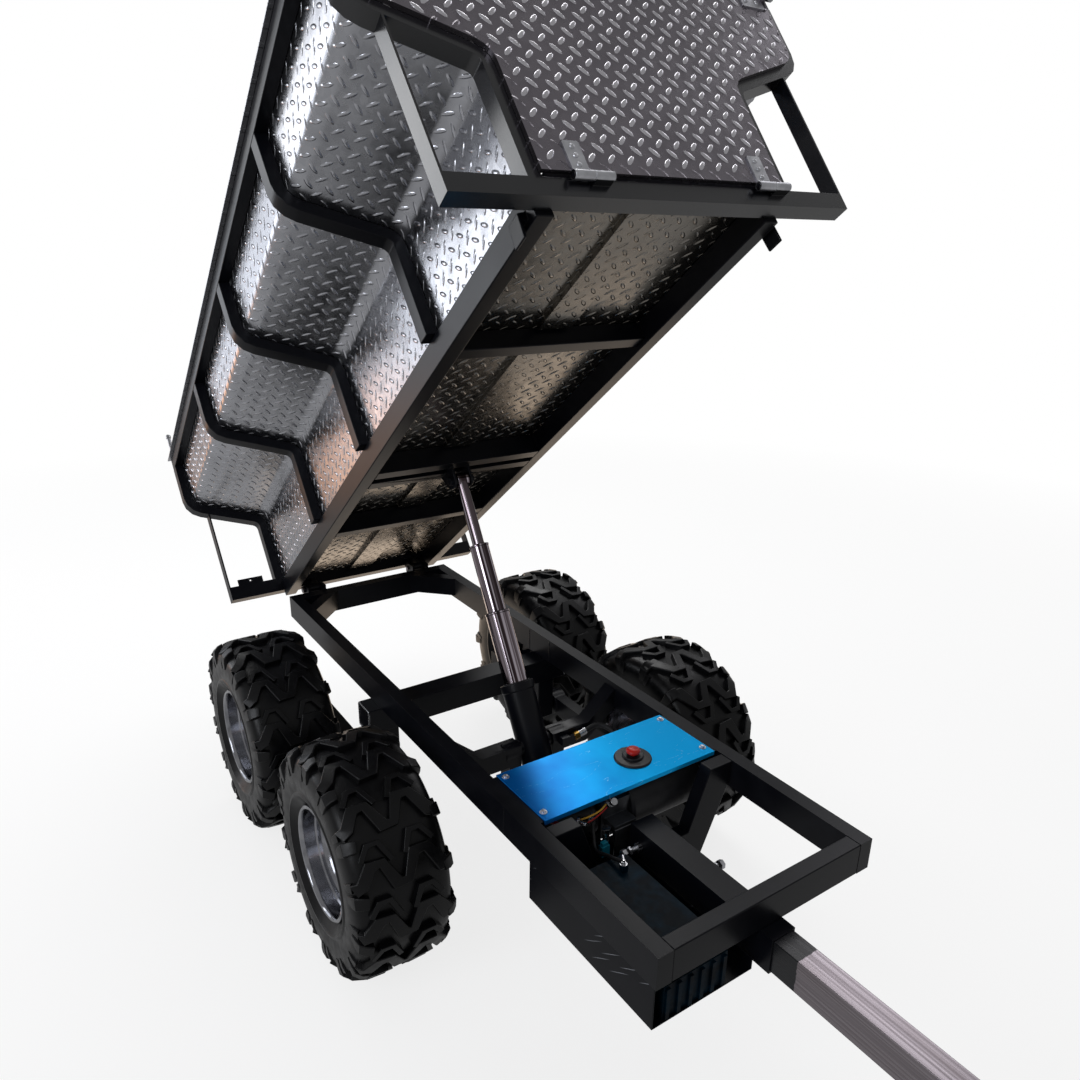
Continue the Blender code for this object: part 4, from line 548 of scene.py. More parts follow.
@dataclass(frozen=True)
class CoverPaint:
    """Bright blue lacquer on sheet steel, glossy, with hairline scratches down to a paler coat, and painted
    shade that deepens the blue towards the right side.
    """

    name: str = "blue_cover_lacquer"
    colour: str = "#00b4ff"
    # The deeper blue of the painted shade towards the right side
    deep: str = "#0268bc"
    scratch: str = "#9fdcf8"
    cloud_mm: float = 110.0
    peel_mm: float = 4.0

    def build(self) -> bpy.types.Material:
        """Makes the material."""
        p = Painter(self.name)
        uneven = p.add("MapRange", p.pattern(self.cloud_mm, 2.0), 0.3, 0.7, -0.06, 0.06)
        across = add_node(p.tree, "SeparateXYZ", p.place).outputs[1]
        cloudy = p.add("Math.ADD", across, uneven)
        # Painted shade: deeper blue towards the right side
        depth = p.add("MapRange", cloudy, -0.24, 0.06, 1.0, 0.0)
        base = p.add("Mix", {0: depth, 6: self.colour, 7: self.deep}, **BLEND)
        # Hairlines are 0.1 mm wide; drawn about 1 mm wide to show from this far
        lines = p.pattern(60.0, 1.0, (1.0, 0.30, 1.0))
        broken = p.pattern(9.0, 3.0)
        rise = p.add("MapRange", lines, 0.562, 0.564, 0.0, 1.0)
        fall = p.add("MapRange", lines, 0.564, 0.567, 1.0, 0.0)
        kept = p.add("MapRange", broken, 0.50, 0.56, 0.0, 0.75)
        thin = p.add("Math.MULTIPLY", p.add("Math.MULTIPLY", rise, fall), kept)
        colour = p.add("Mix", {0: thin, 6: base, 7: self.scratch}, **BLEND)
        rough = p.add("MapRange", broken, 0.3, 0.7, 0.20, 0.25)
        relief = p.add("Bump", {"Height": p.pattern(self.peel_mm, 2.0), "Distance": 0.008 * MM})
        return p.finish(
            Base_Color=colour, Metallic=0.5, Roughness=rough, Normal=relief, Specular_IOR_Level=0.05
        )


def make_finishes() -> Finishes:
    """Builds every finish once.

    Returns:
        The materials by their short names.
    """
    plate, metal, plastic = GalvanisedPlate, PlatedMetal, MouldedPlastic
    kinds = {
        "enamel": ChassisEnamel(),
        "steel": DrawnSteel(),
        "drawbar": DrawnSteel(name="drawn_steel_part_painted", painted_to=0.992),
        "sheet": plate(name="galvanised_side_plate", plane=DentPlane.SHEET),
        # The floor plate is a darker, browner copy of the zinc: painted shade and painted warm reflection
        # under the bed
        "floor": plate("galvanised_floor_plate", "#858079", "#635d56", DentPlane.FLOOR),
        # The gate plate is a darker copy of the zinc: painted shade and painted dark reflection
        "gate": plate("galvanised_gate_plate", "#8b868d", "#635f66", DentPlane.GATE),
        # Lighter copies for the lozenges: partly worn crests, partly painted highlight; the floor's copy also
        # keeps the painted warm shade, and the gates' far lighter copy is a painted highlight
        "lozenge": plate("galvanised_lozenges", "#c4c5cb", "#94959b"),
        "floor_lozenge": plate("galvanised_floor_lozenges", "#928d87", "#6f6a63"),
        "gate_lozenge": plate("galvanised_gate_lozenges", "#e2e0e6", "#b4b2b8"),
        "gloss": ChassisEnamel(name="glossy_enamel", shine=0.8, roughness=0.22),
        "tray": ChassisEnamel(name="scratched_tray_enamel", shine=0.13, scratched=1.0),
        "rubber": TyreRubber(),
        "rim": metal("zinc_plated_rim", "#a9aaaf", "#8b8c92", 0.14, 30.0),
        "chrome": HonedChrome(),
        "hinge": metal("zinc_plated_hinge", "#d2d3d8", "#aeafb4", 0.36, 1.6, 0.02),
        "zinc": metal("bright_zinc", "#c3c4c7", "#94959a", 0.22),
        "bead": metal("weld_bead", "#2a2a2f", "#17171b", 0.34, 2.0, 0.10),
        "brass": metal("brass_fitting", "#b08a45", "#8a6a33", 0.28),
        "cast": metal("die_cast_alloy", "#6c6e72", "#4c4e52", 0.45, 2.5, 0.08),
        "cover": CoverPaint(),
        "panel": plastic("black_panel_plastic", "#0d0d10", "#18181c", 0.38),
        "button": plastic("red_button_plastic", "#c4231b", "#a81b15", 0.30),
        # The battery case is its own blue-black, darkened further as painted shade for the shaded bay
        "battery": plastic("blue_black_battery_case", "#040d15", "#052231", 0.44, 2.5, 0.05, 0.06),
        "tank": plastic("black_tank_plastic", "#101013", "#1c1c20", 0.45),
        "motor": plastic("black_motor_paint", "#121215", "#1d1d21", 0.38, 3.0, 0.05),
        "hose": plastic("hose_rubber", "#0e0e10", "#1b1b1e", 0.55, 2.0, 0.10),
        "red_wire": plastic("red_cable_sleeve", "#a31c18", "#861512", 0.40),
        "black_wire": plastic("black_cable_sleeve", "#121214", "#1c1c1f", 0.42),
        "yellow_wire": plastic("yellow_cable_sleeve", "#c79a35", "#a57a26", 0.40),
        "teal": plastic("teal_vent_caps", "#0e87a3", "#0b6577", 0.40),
    }
    return {key: kind.build() for key, kind in kinds.items()}


def linked(name: str, data: bpy.types.ID) -> bpy.types.Object:
    """A new object in the scene that shows the data."""
    made = bpy.data.objects.new(name, data)
    bpy.context.scene.collection.objects.link(made)
    return made


class Sketch:
    """Gathers vertices and faces of one piece before it becomes an object."""

    def __init__(self) -> None:
        """Starts with nothing."""
        self.points: list[Vector] = []
        self.faces: list[tuple[int, ...]] = []
        self.marks: list[Vector] = []

    def add(self, points: Iterable[Sequence[float]], faces: Iterable[Sequence[int]]) -> None:
        """Adds points and the faces between them."""
        start = len(self.points)
        self.points.extend(Vector(point) for point in points)
        self.faces.extend(tuple(start + index for index in face) for face in faces)

    def loft(
        self, rings: Sequence[Sequence[Sequence[float]]], closed_ends: bool = True, looped: bool = False
    ) -> None:
        """Joins rings of equal count with quads.

        Args:
            rings: the rings in order; each is a closed loop of points.
            closed_ends: caps the first and last ring.
            looped: joins the last ring to the first instead.
        """
        count = len(rings[0])
        points = [point for ring in rings for point in ring]
        faces: list[tuple[int, ...]] = []
        spans = len(rings) if looped else len(rings) - 1
        for row in range(spans):
            near, far = row * count, ((row + 1) % len(rings)) * count
            for step in range(count):
                other = (step + 1) % count
                faces.append((near + step, near + other, far + other, far + step))
        if closed_ends and not looped:
            faces.append(tuple(range(count))[::-1])
            faces.append(tuple(len(points) - count + step for step in range(count)))
        self.add(points, faces)

    def turned(self, profile: Sequence[Point], place: Matrix, steps: int, looped: bool = False) -> None:
        """Turns a profile of (radius, height) about the local z axis of place; looped closes the profile."""
        angles = [2 * math.pi * step / steps for step in range(steps)]
        rings = [
            [place @ Vector((radius * math.cos(a), radius * math.sin(a), height)) for a in angles]
            for radius, height in profile
        ]
        self.loft(rings, closed_ends=False, looped=looped)

    def tube(self, path: Sequence[Vector], radii: Sequence[float], sides: int) -> None:
        """A tube along a path, with a radius at each of its points."""
        rings = []
        across = None
        for index, place in enumerate(path):
            ahead = path[min(index + 1, len(path) - 1)] - path[max(index - 1, 0)]
            ahead.normalize()
            if across is None:
                across = ahead.orthogonal().normalized()
            across = (across - ahead * across.dot(ahead)).normalized()
            up = ahead.cross(across)
            ring = []
            for side in range(sides):
                angle = 2 * math.pi * side / sides
                ring.append(place + radii[index] * (math.cos(angle) * across + math.sin(angle) * up))
            rings.append(ring)
        self.loft(rings)

    def prism(self, outline: Sequence[Point], place: Matrix, low: float, high: float) -> None:
        """A flat outline in the local xy plane of place, made solid between two heights."""
        self.loft([[place @ Vector((x, y, level)) for x, y in outline] for level in (low, high)])

    def make(self, name: str, material: bpy.types.Material, round_mm: float = 0.0) -> bpy.types.Object:
        """Makes the object.

        Args:
            name: the piece's name.
            material: its finish.
            round_mm: radius of its rounded edges.

        Returns:
            The new object, linked to the scene.
        """
        mesh = bpy.data.meshes.new(name)
        mesh.from_pydata([tuple(point) for point in self.points], [], self.faces)
        if self.marks:
            place = mesh.attributes.new("plate_place", "FLOAT_VECTOR", "POINT")
            for index, mark in enumerate(self.marks):
                place.data[index].vector = mark
        mesh.materials.append(material)
        bm = bmesh.new()
        bm.from_mesh(mesh)
        bmesh.ops.recalc_face_normals(bm, faces=bm.faces)
        bm.to_mesh(mesh)
        bm.free()
        for polygon in mesh.polygons:
            polygon.use_smooth = True
        made = linked(name, mesh)
        if round_mm:
            soften(made, round_mm)
        else:
            mesh.set_sharp_from_angle(angle=SHARP_ANGLE)
        return made


def soften(item: bpy.types.Object, round_mm: float, angle: float = 42.0, imported: bool = False) -> None:
    """Rounds the hard edges of a piece.

    Args:
        item: the object to round.
        round_mm: radius in millimetres.
        angle: edges sharper than this many degrees are rounded.
        imported: joins split corners and coplanar faces first, as a carried-over solid needs.
    """
    if imported:
        weld = item.modifiers.new("joined", "WELD")
        weld.merge_threshold = WELD_DISTANCE
        plain = item.modifiers.new("plain", "DECIMATE")
        plain.decimate_type = "DISSOLVE"
        plain.angle_limit = FLAT_ANGLE
    bevel = item.modifiers.new("rounded", "BEVEL")
    bevel.width = round_mm * MM
    bevel.segments = 2
    bevel.limit_method = "ANGLE"
    bevel.angle_limit = math.radians(angle)
    bevel.use_clamp_overlap = True
    normals = item.modifiers.new("even", "WEIGHTED_NORMAL")
    normals.mode = "FACE_AREA"
    normals.weight = 60
    normals.keep_sharp = False


def axis_frame(origin: Sequence[float], direction: Sequence[float]) -> Matrix:
    """A place whose z axis points along a direction."""
    turn = Vector((0, 0, 1)).rotation_difference(Vector(direction)).to_matrix().to_4x4()
    return Matrix.Translation(origin) @ turn


def hexagon(across: float, turn: float = 0.0) -> list[Point]:
    """Corner points of a hexagon by its width across flats."""
    radius = across / math.sqrt(3)
    return [
        (radius * math.cos(turn + math.pi / 3 * step), radius * math.sin(turn + math.pi / 3 * step))
        for step in range(6)
    ]


def filleted(points: Sequence[Point], radii: Sequence[float], steps: int) -> list[Point]:
    """Rounds the corners of an open line.

    Args:
        points: the line's points.
        radii: a radius for each of them, 0 at the ends.
        steps: pieces in each arc.

    Returns:
        The rounded line.
    """
    made: list[Point] = []
    for index, (point, radius) in enumerate(zip(points, radii)):
        if not radius:
            made.append(point)
            continue
        here = Vector(point)
        back = (Vector(points[index - 1]) - here).normalized()
        ahead = (Vector(points[index + 1]) - here).normalized()
        half = back.angle(ahead) / 2
        reach = radius / math.tan(half)
        centre = here + (back + ahead).normalized() * radius / math.sin(half)
        start, end = here + back * reach - centre, here + ahead * reach - centre
        sweep = start.angle_signed(end)
        for step in range(steps + 1):
            angle = -sweep * step / steps
            cos, sin = math.cos(angle), math.sin(angle)
            made.append((centre.x + start.x * cos - start.y * sin, centre.y + start.x * sin + start.y * cos))
    return made


class Section:
    """The stepped cross-section of one side of the bed, as a line with a running length."""

    def __init__(self, offset: float, foot: float, top: float) -> None:
        """Lays out the line.

        Args:
            offset: how far outside the sheet's inner face it runs.
            foot: height of its lower end.
            top: height of its upper end.
        """
        lower, upper = SIZES.floor_half + offset, SIZES.upper_half + offset
        start = SIZES.floor_top + SIZES.shelf_rise - offset / math.cos(SIZES.shelf_angle)
        slope = math.tan(SIZES.shelf_angle)
        inner = (lower, start + (lower - SIZES.floor_half) * slope)
        outer = (upper, start + (upper - SIZES.floor_half) * slope)
        bends = [0, max(SIZES.inner_bend - offset, 0.002), SIZES.outer_bend + offset, 0]
        self.line = filleted([(lower, foot), inner, outer, (upper, top)], bends, BEND_STEPS)
        self.runs = [0.0]
        for near, far in zip(self.line, self.line[1:]):
            self.runs.append(self.runs[-1] + math.dist(near, far))

    def at(self, run: float) -> tuple[Vector, Vector]:
        """The point and the outward normal at a running length."""
        run = min(max(run, TINY), self.runs[-1] - TINY)
        index = next(i for i in range(len(self.runs) - 1) if self.runs[i + 1] >= run)
        near, far = Vector(self.line[index]), Vector(self.line[index + 1])
        share = (run - self.runs[index]) / (self.runs[index + 1] - self.runs[index])
        ahead = (far - near).normalized()
        return near.lerp(far, share), Vector((ahead.y, -ahead.x))


@dataclass
class Lozenges:
    """Raised lozenges of tread plate, laid over a surface."""

    lattice: TreadLattice = TreadLattice()
    blocked: list[tuple[float, float, float, float]] = field(default_factory=list)
    # The share of its length by which a lozenge keeps away from a tube
    berth: float = 0.78

    def outline(self, turn: float) -> list[tuple[float, float, float]]:
        """Points of one lozenge as (along, across, height): foot ring, shoulder ring and crest ring."""
        rings = []
        cos, sin = math.cos(turn), math.sin(turn)
        for share, rise in ((1.0, -0.25), (0.80, 0.62), (0.48, 1.0)):
            height = rise * self.lattice.height
            for step in range(LOZENGE_SIDES):
                angle = 2 * math.pi * step / LOZENGE_SIDES
                along = math.cos(angle) * self.lattice.length / 2 * share
                across = math.sin(angle) * self.lattice.width / 2 * share
                rings.append((along * cos - across * sin, along * sin + across * cos, height))
        return rings

    def free(self, u: float, v: float) -> bool:
        """True where no tube or fitting covers the sheet."""
        reach = self.lattice.length / 2 * self.berth
        return not any(
            low_u - reach < u < high_u + reach and low_v - reach < v < high_v + reach
            for low_u, high_u, low_v, high_v in self.blocked
        )

    def lay(
        self,
        sketch: Sketch,
        place: Callable[[float, float, float], Vector],
        inside: Callable[[float, float], bool],
        low: Point,
        high: Point,
    ) -> int:
        """Lays every lozenge that fits.

        Args:
            sketch: what the lozenges are added to.
            place: function from (u, v, height) to a point.
            inside: function that says if (u, v) is on the sheet.
            low: lowest u and v.
            high: highest u and v.

        Returns:
            The number laid.
        """
        pitch = self.lattice.pitch
        laid = 0
        sides = LOZENGE_SIDES
        # Quads between the three rings, and the crest
        faces = [
            (ring + step, ring + (step + 1) % sides, ring + sides + (step + 1) % sides, ring + sides + step)
            for ring in (0, sides) for step in range(sides)
        ]
        faces.append(tuple(range(2 * sides, 3 * sides)))
        for shift, turn in ((0.0, math.pi / 4), (0.5, -math.pi / 4)):
            shape = self.outline(turn)
            for column in range(math.floor(low[0] / pitch) - 1, math.ceil(high[0] / pitch) + 2):
                for row in range(math.floor(low[1] / pitch) - 1, math.ceil(high[1] / pitch) + 2):
                    u, v = (column + shift) * pitch, (row + shift) * pitch
                    if not self.free(u, v):
                        continue
                    if not all(inside(u + a, v + b) for a, b, _ in shape[:sides]):
                        continue
                    sketch.add([place(u + a, v + b, height) for a, b, height in shape], faces)
                    laid += 1
        return laid


@dataclass
class BedSkin:
    """The tread-plate floor, the two stepped sides and the pattern on both gates."""

    foot: float = 0.0626
    rib_stations: tuple[float, ...] = (0.530, 1.070, 1.600)
    gap: float = 0.0003
    top_flange: float = 0.012
    rib: float = 0.030
    notch_z: float = 0.0766
    end_gap: float = 0.0005
    spans: int = 16
    tube_reach: float = 0.021
    spine_half: float = 0.0485
    floor_margin: float = 0.028
    end_margin: float = 0.045
    gate_out: float = 0.0108
    gate_half: float = 0.56
    gate_edge: float = 0.006
    gate_lattice: TreadLattice = TreadLattice(length=0.0325, width=0.0118, height=0.0026)

    def side_sheet(self, side: Side, finishes: Finishes) -> bpy.types.Object:
        """One stepped side sheet with its folded top lip, in place of the plain solid."""
        top = SIZES.bed_top + self.gap
        over = top + SIZES.sheet
        inner, outer = Section(0.0, self.foot, top), Section(SIZES.sheet, self.foot, top)
        wall, lip = SIZES.upper_half, SIZES.upper_half + SIZES.sheet + self.gap + self.rib + self.top_flange
        loop = list(inner.line[:-1]) + [(wall, over - 0.0012), (wall + 0.0012, over)]
        loop += [(lip - 0.0010, over), (lip, over - 0.0010), (lip, top)] + list(outer.line[::-1])
        runs = list(inner.runs[:-1]) + [inner.runs[-1]] * 5 + list(outer.runs[::-1])
        low_x, high_x = SIZES.bed_rear + self.end_gap, SIZES.bed_front - self.end_gap
        # Over the rear tube, up to notch_x, the sheet's foot is cut away
        notch_x = SIZES.bed_rear + SIZES.bed_tube + self.gap
        first = notch_x + 0.05
        stations = [low_x, notch_x, notch_x + 0.0004]
        stations += [first + (high_x - first) * step / self.spans for step in range(self.spans + 1)]
        sketch = Sketch()
        frame = SIZES.bed_frame()
        rings = []
        for index, x in enumerate(stations):
            ring = []
            for (y, z), run in zip(loop, runs):
                level = max(z, self.notch_z) if index < 2 else z
                ring.append(frame @ Vector((x, side.value * y, level)))
                sketch.marks.append(Vector((x, run + self.foot, 0)))
            rings.append(ring)
        sketch.loft(rings)
        return sketch.make(f"side_plate_{side.label}", finishes["sheet"])

    def side_pattern(self, side: Side, finishes: Finishes) -> bpy.types.Object:
        """The raised lozenges on the outside of one side sheet."""
        line = Section(SIZES.sheet, self.foot, SIZES.bed_top - SIZES.bed_tube)
        length = line.runs[-1]
        frame = SIZES.bed_frame()
        ends = SIZES.bed_tube + 0.001
        blocked = [
            (SIZES.bed_front - station - self.tube_reach, SIZES.bed_front - station + self.tube_reach, -1, 2)
            for station in self.rib_stations
        ]
        blocked.append((SIZES.bed_front - ends, SIZES.bed_front + 1, -1, 2))
        blocked.append((SIZES.bed_rear - 1, SIZES.bed_rear + ends, -1, 2))

        def place(u: float, v: float, height: float) -> Vector:
            """The place over the stepped sheet."""
            point, out = line.at(v - self.foot)
            y, z = point.x + out.x * height, point.y + out.y * height
            return frame @ Vector((u, side.value * y, z))

        def inside(u: float, v: float) -> bool:
            """True on the sheet, 3 mm or more from its foot and its top."""
            return SIZES.bed_rear < u < SIZES.bed_front and 0.003 < v - self.foot < length - 0.003

        sketch = Sketch()
        low, high = (SIZES.bed_rear, self.foot), (SIZES.bed_front, self.foot + length)
        laid = Lozenges(blocked=blocked).lay(sketch, place, inside, low, high)
        LOG.info("side %s has %d lozenges", side.label, laid)
        return sketch.make(f"side_lozenges_{side.label}", finishes["lozenge"])

    def floor_pattern(self, finishes: Finishes) -> bpy.types.Object:
        """The raised lozenges under the floor sheet."""
        half = SIZES.floor_half - self.floor_margin
        members = [SIZES.bed_front - station for station in SIZES.floor_members]
        blocked = [(x - self.tube_reach, x + self.tube_reach, -1.0, 1.0) for x in members]
        blocked.append((-1.0, 3.0, -self.spine_half, self.spine_half))
        frame = SIZES.bed_frame()
        under = SIZES.floor_top - SIZES.sheet
        low_x, high_x = SIZES.bed_rear + self.end_margin, SIZES.bed_front - self.end_margin
        sketch = Sketch()
        laid = Lozenges(blocked=blocked).lay(
            sketch,
            lambda u, v, height: frame @ Vector((u, v, under - height)),
            lambda u, v: low_x < u < high_x and abs(v) < half,
            (low_x, -half),
            (high_x, half),
        )
        LOG.info("floor has %d lozenges", laid)
        return sketch.make("floor_lozenges", finishes["floor_lozenge"])

    def gate_pattern(self, end: End, finishes: Finishes) -> bpy.types.Object:
        """The raised lozenges on the outside of one gate."""
        rise = end.hinge_rise
        face = end.x + end.value * self.gate_out
        foot, top = rise + 0.0105, SIZES.bed_top - 0.004
        edge = Section(0.008, foot, top).line
        blocked = [(y - 0.022, y + 0.022, rise - 0.01, rise + 0.076) for y in SIZES.hinge_y]
        for side in Side:
            inner, outer = sorted((side.value * 0.460, side.value * 0.540))
            blocked.append((inner, outer, SIZES.latch_z - 0.036, SIZES.latch_z + 0.020))
        frame = SIZES.bed_frame()

        def inside(u: float, v: float) -> bool:
            """True on the gate, inside its stepped outline."""
            if not foot + 0.004 < v < top - 0.004:
                return False
            for near, far in zip(edge, edge[1:]):
                if near[1] <= v <= far[1] and far[1] > near[1]:
                    share = (v - near[1]) / (far[1] - near[1])
                    return abs(u) < near[0] + (far[0] - near[0]) * share - self.gate_edge
            return False

        sketch = Sketch()
        laid = Lozenges(self.gate_lattice, blocked).lay(
            sketch,
            lambda u, v, height: frame @ Vector((face + end.value * height, u, v)),
            inside,
            (-self.gate_half, foot),
            (self.gate_half, top),
        )
        LOG.info("%s gate has %d lozenges", end.label, laid)
        return sketch.make(f"{end.label}_gate_lozenges", finishes["gate_lozenge"])

    def sill(self, finishes: Finishes) -> bpy.types.Object:
        """The strip that closes the gap between the front bar and the floor sheet."""
        frame = SIZES.bed_frame()
        sketch = Sketch()
        outline = [(2.1125, 0.0526), (2.1488, 0.0526), (2.1488, 0.0621), (2.1125, 0.0621)]
        sketch.loft([[frame @ Vector((x, y, z)) for x, z in outline] for y in (-0.2965, 0.2965)])
        return sketch.make("front_sill", finishes["enamel"], 0.6)

    def build(self, finishes: Finishes) -> None:
        """Makes the skin and rides it on the bed and the gates."""
        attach(self.sill(finishes), "bed")
        for side in Side:
            sheet = self.side_sheet(side, finishes)
            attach(sheet, "bed")
            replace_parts(sheet, f"side_sheet_{side.label}")
            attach(self.side_pattern(side, finishes), "bed")
        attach(self.floor_pattern(finishes), "bed")
        for end in End:
            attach(self.gate_pattern(end, finishes), f"{end.label}_gate_group")


@dataclass
class GateFittings:
    """Plated hinges and latch plates of the two gates."""

    standoff: float = 0.0138
    knuckle: float = 0.0094
    pin: float = 0.0052
    knuckle_length: float = 0.045
    leaf_half: float = 0.0188
    plate_foot: float = 0.0106
    plate_cut: float = 0.003
    latch_y: float = 0.555

    def plate(self, sketch: Sketch, end: End, low: Point, high: Point, far: float) -> None:
        """A flat plate on a gate, between two corners (y, z), whose face is far out from the bed's end."""
        (low_y, low_z), (high_y, high_z), cut = low, high, self.plate_cut
        outline = [
            (low_y + cut, low_z), (high_y - cut, low_z), (high_y, low_z + cut), (high_y, high_z - cut),
            (high_y - cut, high_z), (low_y + cut, high_z), (low_y, high_z - cut), (low_y, low_z + cut),
        ]
        frame = SIZES.bed_frame()
        depths = [end.x + end.value * depth for depth in (self.plate_foot, far)]
        sketch.loft([[frame @ Vector((x, y, z)) for y, z in outline] for x in depths])

    def rivet(self, sketch: Sketch, end: End, spot: Point, foot: float, radius: float = 0.0052) -> None:
        """A round-headed rivet on a plate, at (y, z)."""
        place = SIZES.bed_frame() @ axis_frame((end.x + end.value * foot, *spot), (end.value, 0, 0))
        head = ((0.0, 0.0033), (0.4, 0.0031), (0.75, 0.0024), (0.96, 0.0012), (1.0, 0.0))
        sketch.turned([(radius * share, height) for share, height in head], place, 20)

    def sleeve(self, end: End, start: float) -> Sketch:
        """One rolled knuckle of a hinge, from y = start."""
        foot = (end.x + end.value * self.standoff, start, end.hinge_rise)
        radius, length, edge = self.knuckle, self.knuckle_length, 0.0006
        sketch = Sketch()
        outline = [
            (self.pin, 0.0), (radius - edge, 0.0), (radius, edge), (radius, length - edge),
            (radius - edge, length), (self.pin, length),
        ]
        sketch.turned(outline, SIZES.bed_frame() @ axis_frame(foot, (0, 1, 0)), 28)
        return sketch

    def hinges(self, end: End, finishes: Finishes) -> None:
        """Leaves, rivets and knuckles of one gate's two hinges."""
        name, rise = end.label, end.hinge_rise
        for label, y in zip(("right", "left"), SIZES.hinge_y):
            leaf = Sketch()
            low, high = (y - self.leaf_half, rise - 0.002), (y + self.leaf_half, rise + 0.0748)
            self.plate(leaf, end, low, high, 0.0144)
            for step in (0.022, 0.042, 0.062):
                self.rivet(leaf, end, (y, rise + step), 0.0142, 0.0056)
            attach(leaf.make(f"{name}_hinge_leaf_{label}", finishes["hinge"], 0.4), f"{name}_gate_group")
            turning = self.sleeve(end, y - self.knuckle_length / 2)
            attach(turning.make(f"{name}_gate_knuckle_{label}", finishes["hinge"]), f"{name}_gate_group")
            still = self.sleeve(end, y + self.knuckle_length / 2 + 0.0005)
            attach(still.make(f"{name}_bed_knuckle_{label}", finishes["hinge"]), "bed")

    def latch_plates(self, end: End, finishes: Finishes) -> None:
        """The plates that carry a gate's two latch handles."""
        sketch = Sketch()
        low_z, high_z = SIZES.latch_z - 0.0345, SIZES.latch_z + 0.0185
        for side in Side:
            inner, outer = sorted(side.value * (self.latch_y - inset) for inset in (0.0955, 0.0245))
            self.plate(sketch, end, (inner, low_z), (outer, high_z), 0.0143)
            for inset in (0.080, 0.045):
                spot = (side.value * (self.latch_y - inset), SIZES.latch_z - 0.018)
                self.rivet(sketch, end, spot, 0.0140)
        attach(sketch.make(f"{end.label}_latch_plates", finishes["hinge"], 0.4), f"{end.label}_gate_group")

    def build(self, finishes: Finishes) -> None:
        """Makes the fittings of both gates."""
        for end in End:
            self.hinges(end, finishes)
            self.latch_plates(end, finishes)
        LOG.info("hinges and latch plates")


@dataclass
class CylinderTrim:
    """Wiper rings and plated heads of the telescopic cylinder."""

    trunnion: Place = (1.155, 0.0, -0.125)
    upper_pin: Place = (0.74768, 0.0, 0.57699)
    barrel_top: float = 0.18247
    stage_tops: tuple[float, float] = (0.39876, 0.60641)
    radii: tuple[float, float, float] = (0.036, 0.0285, 0.018)
    wiper_widths: tuple[float, float] = (0.0032, 0.0034)
    # Wide enough for a head to pass when the stages are drawn in
    gap: float = 0.0017

    def ring(self, name: str, radii: Point, levels: Point, finish: bpy.types.Material, body: str) -> None:
        """One ring about the cylinder's axis.

        Args:
            name: the piece's name.
            radii: inner and outer radius.
            levels: its lower and upper end along the axis, from the trunnions.
            finish: its material.
            body: the body it rides on.
        """
        foot = SIZES.chassis_place(*self.trunnion)
        place = axis_frame(foot, SIZES.chassis_place(*self.upper_pin) - foot)
        (inner, outer), (low, high) = radii, levels
        edge = min(0.0006, (high - low) / 3)
        sketch = Sketch()
        outline = [
            (inner, low), (outer - edge, low), (outer, low + edge), (outer, high - edge),
            (outer - edge, high), (inner, high), (inner, low),
        ]
        sketch.turned(outline, place, 64)
        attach(sketch.make(name, finish), body)

    def build(self, finishes: Finishes) -> None:
        """Makes the rings."""
        dark, bright = finishes["hose"], finishes["chrome"]
        radius, top = self.radii[0], self.barrel_top
        radii, levels = (radius + self.gap, radius + 0.005), (top - 0.001, top + 0.003)
        self.ring("barrel_wiper", radii, levels, dark, "barrel_group")
        for index, (top, width) in enumerate(zip(self.stage_tops, self.wiper_widths)):
            radius, inner = self.radii[index:index + 2]
            name, head, neck = f"stage_{index + 1}", top - 0.0045, radius - 0.002
            body = f"{name}_group"
            self.ring(f"{name}_head", (neck, radius + 0.0013), (head, top + 0.0004), bright, body)
            self.ring(f"{name}_groove", (neck, radius + 0.0004), (top - 0.0062, head), dark, body)
            self.ring(f"{name}_wiper", (inner + self.gap, inner + width), (top, top + 0.0026), dark, body)
        LOG.info("cylinder rings")


